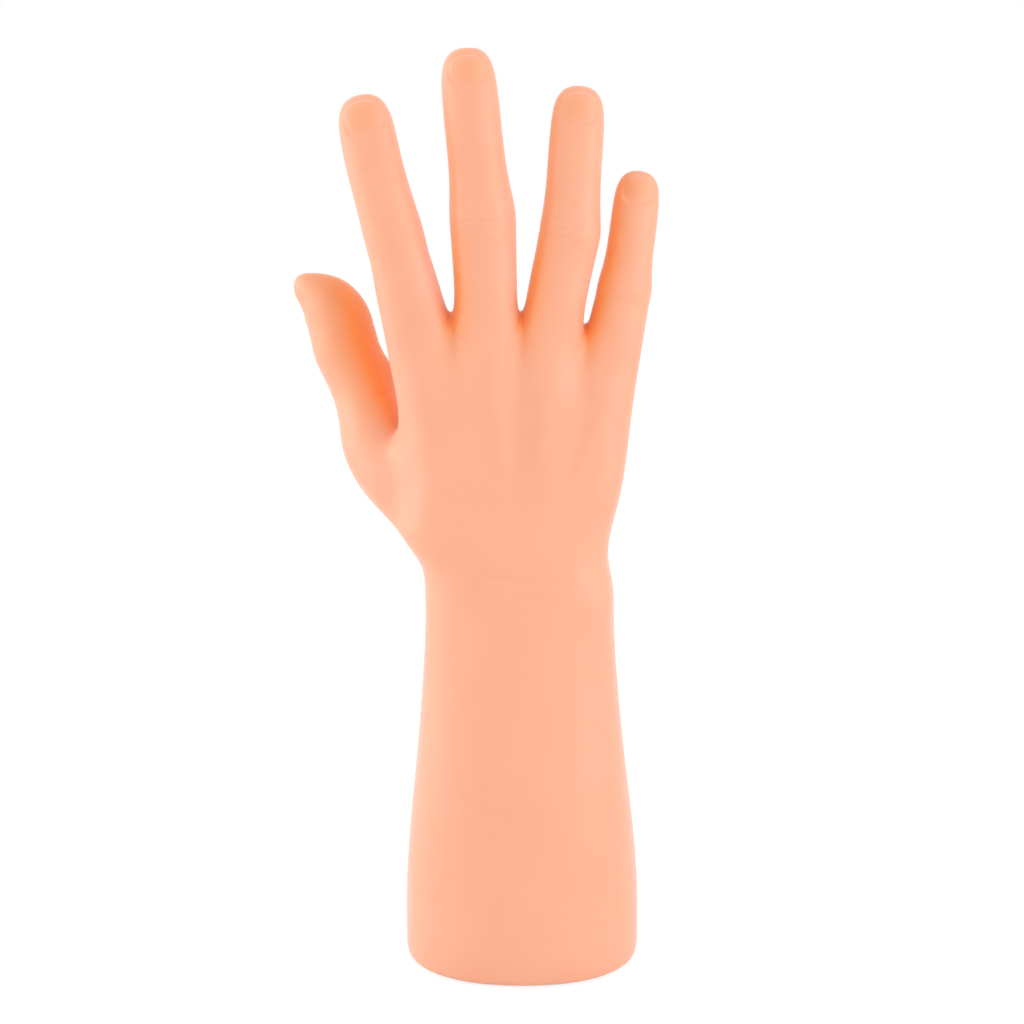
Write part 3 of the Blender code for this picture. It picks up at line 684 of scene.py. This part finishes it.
def nail_relief(points, normals, digit, nail):
    """How a digit's points move so that its back carries a nail, and which of them are on the nail."""
    start, end, half_width, fold_share = nail
    below, across, out, backs = digit.places(points)
    middle = 0.5 * (start + end)
    edge = nail_edge(across, below - middle, half_width, 0.5 * (end - start))
    on_back = smoothstep(0.0, 2.0, out)

    def height(at, side=0.0):
        near = (np.abs(below - at) < MEASURE_REACH) & (np.abs(np.abs(across) - side) < MEASURE_REACH)
        return out[near & (out > 0)].mean()

    mid_height = height(middle)
    side = BESIDE_NAIL * half_width
    root = end - BEFORE_ROOT
    drop = (mid_height - height(middle, side) + NAIL_SUNK) / side ** 2
    rise = (mid_height - height(root)) / (root - middle)
    ahead = np.maximum(middle - below, 0)
    plate = mid_height + 0.5 * rise * (middle - below) - NAIL_BEND * ahead ** 2 - drop * across ** 2
    inside = 1 - smoothstep(*NAIL_RIM, edge)
    lift = plate - out
    lift = np.where(lift > 0, NAIL_PROUD * np.tanh(lift / NAIL_PROUD), lift)
    free_edge = smoothstep(*FREE_SHARES, (middle - below) / (middle - start))
    folds = ridge(edge, NAIL_FOLD) - ridge(edge, NAIL_GROOVE)
    relief = fold_share * (folds * (1 - free_edge) - ridge(edge, UNDER_EDGE) * free_edge)
    move = (fold_share * lift * inside * on_back)[:, None] * backs + (relief * on_back)[:, None] * normals
    return move, smoothstep(*NAIL_TINT, edge) * on_back


def joint_relief(points, digit, joint, depth):
    """Folds over the back of a joint and on its front, and the joint's slight swelling."""
    below, across, out, _ = digit.places(points)
    from_joint = below - digit.below_tip(joint)
    half_width = np.abs(across[np.abs(from_joint) < JOINT_REACH]).max()
    on_back = smoothstep(*JOINT_BACK, out / half_width)
    relief = depth * bell(from_joint, JOINT_SPREAD) * on_back
    stray, turn, next_turn = FOLD_STRAY
    sidestep, side_turn = FOLD_SIDESTEP
    for number, offset in enumerate(FOLD_OFFSETS):
        bow = FOLD_BOW * offset * (across / half_width) ** 2
        wander = stray * np.sin(turn * across + next_turn * number)
        reach = half_width * FOLD_SHARES[number % len(FOLD_SHARES)]
        ends = np.exp(-((across - sidestep * math.sin(side_turn * number)) / reach) ** 4)
        relief += crease(from_joint - offset - bow - wander, depth, FOLD_BREADTH) * on_back * ends
    on_front = smoothstep(*JOINT_FRONT, out / half_width)
    stray, turn = PULP_STRAY
    for offset, share in PULP_FOLDS:
        wander = stray * np.sin(turn * across + offset)
        relief += crease(from_joint - offset - wander, PULP_DEPTH * depth * share, PULP_BREADTH) * on_front
    return relief


def palm_relief(points, normals):
    """Creases of the palm and the wrist, tendons, hollows below the webs, and knuckles."""
    flat = points[:, (0, 2)] - (0, WRIST_HEIGHT)
    relief = np.zeros(len(points))
    for lines, side in ((PALM_CREASES, 1), (BACK_CREASES, -1)):
        facing = smoothstep(*FACING, side * normals[:, 1])
        for line, depth, breadth in lines:
            far, where = distance_to_line(flat, smooth_line(line))
            relief += crease(far, depth, breadth) * along_line(where, CREASE_ENDS) * facing
    on_back = smoothstep(*FACING, -normals[:, 1])
    for lines, (rise, breadth, ends) in ((TENDONS, TENDON_FORM), (WEB_HOLLOWS, HOLLOW_FORM)):
        for line in lines:
            far, where = distance_to_line(flat, smooth_line(line))
            relief += rise * bell(far, breadth) * along_line(where, ends) * on_back
    for x, z, spread, rise in BACK_BUMPS:
        relief += rise * bell(np.hypot(flat[:, 0] - x, flat[:, 1] - z), spread) * on_back
    return relief


def all_digits():
    """The four fingers and the thumb."""
    thumb = (*(THUMB_RINGS[k][0] for k in THUMB_JOINTS), THUMB_TIP)
    return [Digit(finger[:4], (0, -1, 0)) for finger in FINGERS] + [Digit(thumb, THUMB_NAIL_FACES)]


def in_use(points, faces, digits):
    """The cage without the points that no face uses."""
    used, numbers = np.unique(np.concatenate(faces), return_inverse=True)
    return points[used], numbers.reshape(-1, 4).tolist(), digits[used]


def new_object(name, data):
    made = bpy.data.objects.new(name, data)
    bpy.context.scene.collection.objects.link(made)
    return made


def read(items, name, width=1, kind=np.float32):
    """What every one of a mesh's points, corners or values holds, as rows."""
    values = np.zeros(len(items) * width, kind)
    items.foreach_get(name, values)
    return values.reshape(-1, width)


def smoothed(points, faces, levels, values=None, to_limit=True):
    """A cage made smooth: points and normals in millimetres, quads, and values carried from the cage."""
    mesh = bpy.data.meshes.new("cage")
    mesh.from_pydata((np.asarray(points) * MM).tolist(), [], faces)
    if values is not None:
        for number, column in enumerate(values.T):
            layer = mesh.attributes.new(f"carried_{number}", "FLOAT", "POINT")
            layer.data.foreach_set("value", column.astype(np.float32))
    holder = new_object("cage", mesh)
    modifier = holder.modifiers.new("Smooth form", "SUBSURF")
    modifier.levels = levels
    modifier.use_limit_surface = to_limit
    evaluated = holder.evaluated_get(bpy.context.evaluated_depsgraph_get())
    fine = evaluated.to_mesh()
    places = read(fine.vertices, "co", 3)
    directions = read(fine.vertices, "normal", 3)
    corners = read(fine.loops, "vertex_index", kind=np.int32)
    columns = range(0 if values is None else values.shape[1])
    carried = [read(fine.attributes[f"carried_{number}"].data, "value") for number in columns]
    evaluated.to_mesh_clear()
    bpy.data.objects.remove(holder)
    bpy.data.meshes.remove(mesh)
    return places / MM, directions, corners.reshape(-1, 4), np.hstack(carried) if carried else None


def evened(values, quads, share, rounds):
    """Values at a surface's points, each moved by its share towards its neighbours' mean in each round."""
    firsts = quads.ravel()
    seconds = np.roll(quads, -1, axis=1).ravel()
    neighbours = np.bincount(np.concatenate([firsts, seconds]), minlength=len(values))[:, None]
    for _ in range(rounds):
        total = np.zeros_like(values)
        np.add.at(total, firsts, values[seconds])
        np.add.at(total, seconds, values[firsts])
        values = values + share * (total / neighbours - values)
    return values


def lines_of_sight(normals):
    """Directions spread over the half space above each point, the same way for all points."""
    number = np.arange(SIGHT_LINES)
    share = (number + 0.5) / SIGHT_LINES
    turns = number * math.pi * (3 - math.sqrt(5))
    out = np.sqrt(share)
    lines = np.stack([out * np.cos(turns), out * np.sin(turns), np.sqrt(1 - share)], axis=1)
    first = np.cross(normals, SIGHT_TURN)
    first /= np.linalg.norm(first, axis=1)[:, None]
    frames = np.stack([first, np.cross(normals, first), normals], axis=1)
    return np.einsum("lk,pkc->plc", lines, frames)


def light_kept_off(points, normals, quads):
    """The share of each point's light that the hand itself keeps off."""
    tree = BVHTree.FromPolygons(points.tolist(), quads.tolist())
    views = lines_of_sight(normals)
    light = np.ones(views.shape[:2])
    for lamp, strength in SHADE_LAMPS:
        light += strength * np.clip(views @ unit(lamp), 0, 1) ** SHADE_FOCUS
    starts = (points + SIGHT_START * normals).tolist()
    kept_off = np.zeros(len(points))
    for place in np.nonzero(points[:, 2] > WRIST_HEIGHT + SHADED_FROM)[0]:
        rays = views[place].tolist()
        hits = [tree.ray_cast(starts[place], ray, SIGHT_REACH)[0] is not None for ray in rays]
        kept_off[place] = light[place][hits].sum() / light[place].sum()
    return kept_off


def shade(points, normals, quads, on_thumb):
    """Painted shade: up to 1 where the hand keeps light off itself, below 0, as paler painted light, where it
    faces right.
    """
    kept_off = light_kept_off(points, normals, quads)
    across = points[:, 0]
    height = points[:, 2] - WRIST_HEIGHT
    at_thumb = np.maximum(on_thumb, smoothstep(*THUMB_SIDE, across) * smoothstep(*THUMB_TOP, height))
    near_web = [bell(np.hypot(across - x, height - z), WEB_REACH) for (x, z), *_ in WEB_HOLLOWS]
    facing_right = smoothstep(*FACING_RIGHT, normals[:, 0])
    # Painted light: sides that face the right-hand lamp lose their painted shade, and where they lose more
    # than all of it they turn paler
    lit = np.interp(height, *zip(*LIT_SIDES)) * facing_right * (1 - np.max(near_web, axis=0))
    on_fingers = kept_off * (1 - lit) * np.interp(height, *zip(*FINGER_DEPTHS))
    # Painted shade on the thumb's side towards the palm, which faces right
    towards_palm = THUMB_RIGHT * on_thumb * facing_right
    kept_share = 1 - THUMB_TURN * smoothstep(*THUMB_LEFT, normals[:, 0])
    on_its_side = (kept_off * kept_share + towards_palm) * np.interp(height, *zip(*THUMB_DEPTHS))
    depth = on_fingers + at_thumb * (on_its_side - on_fingers)
    return evened(depth[:, None], quads, EVEN_SHARE, SHADE_ROUNDS)[:, 0]


def moulded_relief(points, normals, carried):
    """The points with the moulding's fine forms, and how far each is on a nail."""
    place, spread, rise = THUMB_BULGE
    move = (rise * bell(np.linalg.norm(points - lifted(place), axis=1), spread))[:, None] * normals
    on_nail = np.zeros(len(points))
    on_hand = points[:, 2] > WRIST_HEIGHT + FINE_FROM
    on_palm = on_hand & (carried.sum(axis=1) < OWN[1])
    relief = palm_relief(points[on_palm], normals[on_palm])
    share = 1 - carried.sum(axis=1)[on_palm]
    move[on_palm] += (relief * share)[:, None] * normals[on_palm]
    for digit, nail, depths, own in zip(all_digits(), NAILS, JOINT_FOLDS, carried.T):
        mine = own > OWN[0]
        nail_move, nail_share = nail_relief(points[mine], normals[mine], digit, nail)
        move[mine] += nail_move
        on_nail[mine] = nail_share
        for joint, depth in zip((1, 2), depths):
            relief = joint_relief(points[mine], digit, joint, depth)
            move[mine] += (relief * smoothstep(*OWN, own[mine]))[:, None] * normals[mine]
    return points + move, on_nail


def held_inside(points):
    """The points, eased back into the part's own box where the finer form would pass it."""
    low, high = np.array(cad_box) / MM
    over = np.maximum(points - high + BOX_EASE, 0)
    under = np.maximum(low + BOX_EASE - points, 0)
    return points - over + BOX_EASE * np.tanh(over / BOX_EASE) + under - BOX_EASE * np.tanh(under / BOX_EASE)


def boundary_ring(points, quads):
    """The points of a surface's open edge, in turn round the vertical axis."""
    pairs = np.concatenate([quads[:, (k, (k + 1) % 4)] for k in range(4)])
    edges, counts = np.unique(np.sort(pairs, axis=1), axis=0, return_counts=True)
    ring = np.unique(edges[counts == 1])
    angles = np.arctan2(points[ring, 1], points[ring, 0])
    return ring[np.argsort(angles)]


def quads_between(low, high):
    """Faces between two rings with the same number of points."""
    return np.stack([low, high, np.roll(high, -1), np.roll(low, -1)], axis=1).tolist()


def four_to_one(fine, coarse):
    """Faces between a ring and one with a quarter of its points."""
    faces = []
    for j, (here, there) in enumerate(zip(coarse, np.roll(coarse, -1))):
        a, b, c, d, e = [fine[(4 * j + k) % len(fine)] for k in range(5)]
        faces += [(a, here, b), (b, here, c), (c, here, there), (c, there, d), (d, there, e)]
    return faces


def outer_form(cage_points, cage_faces, digits):
    """The outside down to its foot: points without and with the fine forms, quads, nail tint, painted shade
    and light.
    """
    ownership = np.stack([(digits == d).astype(float) for d in range(1, THUMB + 1)], axis=1)
    coarse, normals, quads, carried = smoothed(
        cage_points, cage_faces, FIRST_LEVELS, ownership, to_limit=False)
    near_fold = bell(np.linalg.norm(coarse - lifted(FOLD_PLACE), axis=1), FOLD_REACH)
    coarse = evened(coarse, quads, EVEN_SHARE * near_fold[:, None], FOLD_ROUNDS)
    shaded = shade(coarse, normals, quads, carried[:, THUMB - 1])
    carried = np.concatenate([carried, shaded[:, None]], axis=1)
    points, normals, quads, carried = smoothed(coarse, quads.tolist(), LAST_LEVELS, carried)
    shaped, on_nail = moulded_relief(points, normals, carried[:, :THUMB])
    # The nails' own tint, and painted shade on the thumb's sides that turn away from the left-hand lamp
    tan = np.maximum(on_nail, carried[:, THUMB - 1] * smoothstep(*THUMB_PAINTED_SHADE_TURN, normals[:, 0]))
    return points, held_inside(shaped), quads, tan, carried[:, THUMB]


def underside(points, below, total):
    """Rings up to the ledge, their quads, and the last one's numbers, which go on from the total."""
    turns = np.arctan2(points[below, 1] / BASE_HALF_Y, points[below, 0] / BASE_HALF_X)
    rings = []
    faces = []
    for half_x, half_y, z in UNDERSIDE:
        ring = (half_x * np.cos(turns), half_y * np.sin(turns), np.full(len(turns), z))
        rings.append(np.stack(ring, axis=1))
        above = np.arange(total, total + len(turns))
        total += len(turns)
        faces.extend(quads_between(below, above))
        below = above
    return rings, faces, below


def hollow_form(cage_points, cage_faces):
    """The hollow's points and quads, a wall's thickness inside the outer form."""
    points, normals, _, _ = smoothed(cage_points, cage_faces, 1)
    cage = (points - WALL * normals)[:len(cage_points)]
    cage[:, 2] = np.maximum(cage[:, 2], INNER_FOOT)
    inside, _, quads, _ = smoothed(cage, cage_faces, INNER_LEVELS)
    return inside, quads


def make_skin():
    """The hollow moulding as one closed surface: outside, foot, opening and hollow."""
    cage_points, cage_faces, digits = in_use(*hand_cage())
    points, shaped, quads, tan, shaded = outer_form(cage_points, cage_faces, digits)
    rings, ring_faces, below = underside(points, boundary_ring(points, quads), len(shaped))
    inside, inner_quads = hollow_form(cage_points, cage_faces)
    total = below[-1] + 1
    faces = quads.tolist() + ring_faces + (inner_quads[:, ::-1] + total).tolist()
    faces.extend(four_to_one(below, boundary_ring(inside, inner_quads) + total))

    mesh = bpy.data.meshes.new("moulded_hand")
    mesh.from_pydata((np.concatenate([shaped, *rings, inside]) * MM).tolist(), [], faces)
    # Colour layers: the nails' tint with the thumb's painted shade, and the painted shade and light of the
    # whole hand
    for name, column in (("tan", tan), ("shade", shaded)):
        layer = mesh.attributes.new(name, "FLOAT", "POINT")
        values = np.zeros(len(mesh.vertices), np.float32)
        values[:len(column)] = column
        layer.data.foreach_set("value", values)
    mesh.shade_smooth()
    mesh.materials.append(soft_pvc())
    piece = new_object("moulded_hand", mesh)
    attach(piece, "hand")
    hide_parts("hand_skin")


def fill(node, **values):
    """Gives a node's sockets their values, where _ in a name stands for a space."""
    for name, value in values.items():
        node.inputs[name.replace("_", " ")].default_value = value
    return node


class Nodes:
    """A material's nodes, made and joined in short lines."""

    def __init__(self, name, **values):
        self.material = bpy.data.materials.new(name)
        self.material.use_nodes = True
        self.tree = self.material.node_tree
        self.shader = fill(self.tree.nodes["Principled BSDF"], **values)

    def add(self, kind, **values):
        return fill(self.tree.nodes.new(kind), **values)

    def link(self, source, target):
        self.tree.links.new(source, target)

    def texture(self, kind, **values):
        """The outputs of a texture that lies in the object's own frame."""
        texture = self.add(kind, **values)
        self.link(self.add("ShaderNodeTexCoord").outputs["Object"], texture.inputs["Vector"])
        return texture.outputs

    def noise(self, scale, detail, roughness=0.5):
        return self.texture("ShaderNodeTexNoise", Scale=scale, Detail=detail, Roughness=roughness)["Fac"]

    def layer(self, name):
        layer = self.add("ShaderNodeAttribute")
        layer.attribute_name = name
        return layer.outputs["Fac"]

    def mixed(self, share, first, second):
        """The first colour where the share is 0, the second where it is 1."""
        mix = self.add("ShaderNodeMix")
        mix.data_type = "RGBA"
        self.link(share, mix.inputs["Factor"])
        self.link(first, mix.inputs[6])
        mix.inputs[7].default_value = (*second, 1.0)
        return mix.outputs[2]

    def ramp(self, source, stops):
        ramp = self.add("ShaderNodeValToRGB")
        elements = ramp.color_ramp.elements
        while len(elements) < len(stops):
            elements.new(0.5)
        for element, (position, colour) in zip(elements, stops):
            element.position = position
            element.color = (*colour, 1.0)
        self.link(source, ramp.inputs["Fac"])
        return ramp.outputs["Color"]

    def span(self, source, low, high, first=0.3, last=0.7):
        """Values from low to high as the source goes from first to last."""
        span = self.add("ShaderNodeMapRange", From_Min=first, From_Max=last, To_Min=low, To_Max=high)
        self.link(source, span.inputs["Value"])
        return span.outputs["Result"]

    def bump(self, source, distance, strength, below=None):
        bump = self.add("ShaderNodeBump", Distance=distance, Strength=strength)
        self.link(source, bump.inputs["Height"])
        if below is not None:
            self.link(below, bump.inputs["Normal"])
        return bump.outputs["Normal"]

    def finish(self, colour, roughness, normal):
        """The material, with these three joined to its shader."""
        for source, name in ((colour, "Base Color"), (roughness, "Roughness"), (normal, "Normal")):
            self.link(source, self.shader.inputs[name])
        return self.material


def soft_pvc():
    """Soft peach PVC: light goes a little way in, and painted shade deepens the colour where the form shades
    itself.
    """
    n = Nodes("Soft peach PVC", Specular_IOR_Level=0.5, IOR=1.5, Sheen_Weight=0.55, Sheen_Roughness=0.32,
              Subsurface_Weight=0.2, Subsurface_Scale=0.001, Subsurface_Radius=(1.0, 0.42, 0.2))
    colour = n.ramp(n.noise(45, 3), SKIN_PLAIN)
    # Over the plain colour: the nails' tint and the thumb's painted shade, then painted light and painted
    # shade
    for name, low, high, first, last, tone in TINT_AND_PAINTED_LIGHT_TONES:
        colour = n.mixed(n.span(n.layer(name), low, high, first, last), colour, tone)
    waves = n.bump(n.noise(320, 2), 0.0004, 0.1)
    grain = n.bump(n.noise(2600, 2), 0.00012, 0.22, below=waves)
    return n.finish(colour, n.span(n.noise(160, 3), 0.40, 0.50), grain)


def ivory_plastic():
    """Natural polypropylene with a fine spark-eroded texture."""
    n = Nodes("Ivory polypropylene", Subsurface_Weight=0.12, Subsurface_Scale=0.002, Specular_IOR_Level=0.45)
    colour = n.ramp(n.noise(70, 3), ((0.35, (0.80, 0.76, 0.66)), (0.65, (0.86, 0.82, 0.73))))
    return n.finish(colour, n.span(n.noise(240, 4), 0.42, 0.55), n.bump(n.noise(1900, 3), 0.0001, 0.35))


def foam():
    """Closed-cell foam, whose cut face shows its small cells."""
    n = Nodes("Black EVA foam", Specular_IOR_Level=0.25)
    cells = n.texture("ShaderNodeTexVoronoi", Scale=1500)["Distance"]
    colour = n.ramp(cells, ((0.1, (0.028, 0.028, 0.030)), (0.8, (0.050, 0.050, 0.052))))
    return n.finish(colour, n.span(n.noise(300, 3), 0.78, 0.92), n.bump(cells, 0.00025, 0.6))


def cast_iron():
    """Grey iron with a sand-cast skin and faint rust-brown patches."""
    n = Nodes("Cast iron", Metallic=0.85)
    colour = n.ramp(n.noise(90, 6, 0.6), ((0.30, (0.055, 0.052, 0.050)), (0.58, (0.105, 0.100, 0.098)),
                                          (0.75, (0.115, 0.085, 0.065))))
    coarse = n.bump(n.noise(520, 5, 0.6), 0.0004, 0.5)
    fine = n.bump(n.noise(2200, 3), 0.00015, 0.4, below=coarse)
    return n.finish(colour, n.span(n.noise(420, 5), 0.48, 0.72), fine)


def zinc():
    """Bright zinc plate with a faint bluish cloudiness."""
    n = Nodes("Zinc-plated steel", Metallic=1.0)
    colour = n.ramp(n.noise(400, 3), ((0.3, (0.60, 0.62, 0.66)), (0.7, (0.72, 0.73, 0.75))))
    return n.finish(colour, n.span(n.noise(900, 4), 0.22, 0.38), n.bump(n.noise(3500, 2), 0.00005, 0.3))


def dress_cad_nodes():
    """Finishes for the pieces of the base, which keep the part's own shapes."""
    finishes = {
        "ivory_polypropylene": (ivory_plastic(), 0.25),
        "black_eva": (foam(), 0.2),
        "cast_iron": (cast_iron(), 0.3),
        "zinc_steel": (zinc(), 0.12),
    }
    for subpart in frame["record"]["subparts"]:
        if subpart["material_slot"] not in finishes:
            continue
        finish, edge = finishes[subpart["material_slot"]]
        node = frame["nodes"][subpart["node"]]
        node.data.materials.clear()
        node.data.materials.append(finish)
        bevel = node.modifiers.new("Soft edges", "BEVEL")
        bevel.width = edge * MM
        bevel.segments = EDGE_STEPS
        bevel.limit_method = "ANGLE"
        bevel.angle_limit = math.radians(EDGE_ANGLE)


def seen_directly(tree):
    """1 for rays from the camera, a reflection or through something clear."""
    path = tree.nodes.new("ShaderNodeLightPath")
    most = path.outputs["Is Camera Ray"]
    for name in ("Is Glossy Ray", "Is Transmission Ray"):
        larger = tree.nodes.new("ShaderNodeMath")
        larger.operation = "MAXIMUM"
        tree.links.new(most, larger.inputs[0])
        tree.links.new(path.outputs[name], larger.inputs[1])
        most = larger.outputs[0]
    return most


def shader_node(tree, kind, **values):
    return fill(tree.nodes.new(kind), **values).outputs[0]


def grey(level):
    return (level, level, level, 1)


def give_surface(tree, output, lit, seen):
    """One shader for the light on its way, the other where it is seen directly."""
    choose = tree.nodes.new("ShaderNodeMixShader")
    for source, target in zip((seen_directly(tree), lit, seen), choose.inputs):
        tree.links.new(source, target)
    tree.links.new(choose.outputs[0], tree.nodes.new(output).inputs["Surface"])


def add_floor():
    """A plain pale floor that the camera sees almost white, with the hand's soft shadow on it."""
    mesh = bpy.data.meshes.new("floor")
    corners = ((-1, -1), (1, -1), (1, 1), (-1, 1))
    points = [(FLOOR_REACH * x * MM, FLOOR_REACH * y * MM, FLOOR_LEVEL * MM) for x, y in corners]
    mesh.from_pydata(points, [], [(0, 1, 2, 3)])
    floor = new_object("floor", mesh)
    material = bpy.data.materials.new("Pale floor")
    material.use_nodes = True
    tree = material.node_tree
    tree.nodes.clear()
    plain = shader_node(tree, "ShaderNodeBsdfDiffuse", Color=grey(FLOOR_GREY))
    faint = shader_node(tree, "ShaderNodeBsdfDiffuse", Color=grey(FLOOR_SEEN_GREY))
    glow = shader_node(tree, "ShaderNodeEmission", Strength=FLOOR_GLOW)
    both = tree.nodes.new("ShaderNodeAddShader")
    tree.links.new(faint, both.inputs[0])
    tree.links.new(glow, both.inputs[1])
    give_surface(tree, "ShaderNodeOutputMaterial", plain, both.outputs[0])
    mesh.materials.append(material)


def add_world():
    """Even light from all round, before a white background."""
    world = bpy.data.worlds.new("Studio")
    bpy.context.scene.world = world
    world.use_nodes = True
    tree = world.node_tree
    tree.nodes.clear()
    light = shader_node(tree, "ShaderNodeBackground", Color=grey(1), Strength=WORLD_LIGHT)
    white = shader_node(tree, "ShaderNodeBackground", Color=grey(1))
    give_surface(tree, "ShaderNodeOutputWorld", light, white)


def add_soft_box(name, place, power):
    """A large lamp, turned to the middle of the forearm."""
    light = bpy.data.lights.new(name, "AREA")
    light.shape = "RECTANGLE"
    light.size, light.size_y = SOFT_BOX_SIZE
    light.energy = power
    lamp = new_object(name, light)
    lamp.location = place
    x, y, z = np.array(SOFT_BOX_AIM) - place
    lamp.rotation_euler = (math.atan2(math.hypot(x, y), -z), 0, math.atan2(-x, y))


def add_camera():
    """The camera at the photograph's place and angle."""
    data = bpy.data.cameras.new("Photo view")
    data.lens = CAMERA_LENS
    data.sensor_width = CAMERA_SENSOR
    camera = new_object("Photo view", data)
    camera.location = CAMERA_PLACE
    camera.rotation_euler = (math.radians(90 - CAMERA_DOWN), 0, 0)
    bpy.context.scene.camera = camera


def main():
    make_skin()
    dress_cad_nodes()
    add_floor()
    add_world()
    for soft_box in SOFT_BOXES:
        add_soft_box(*soft_box)
    add_camera()
    bpy.context.scene.view_settings.view_transform = "Standard"


main()
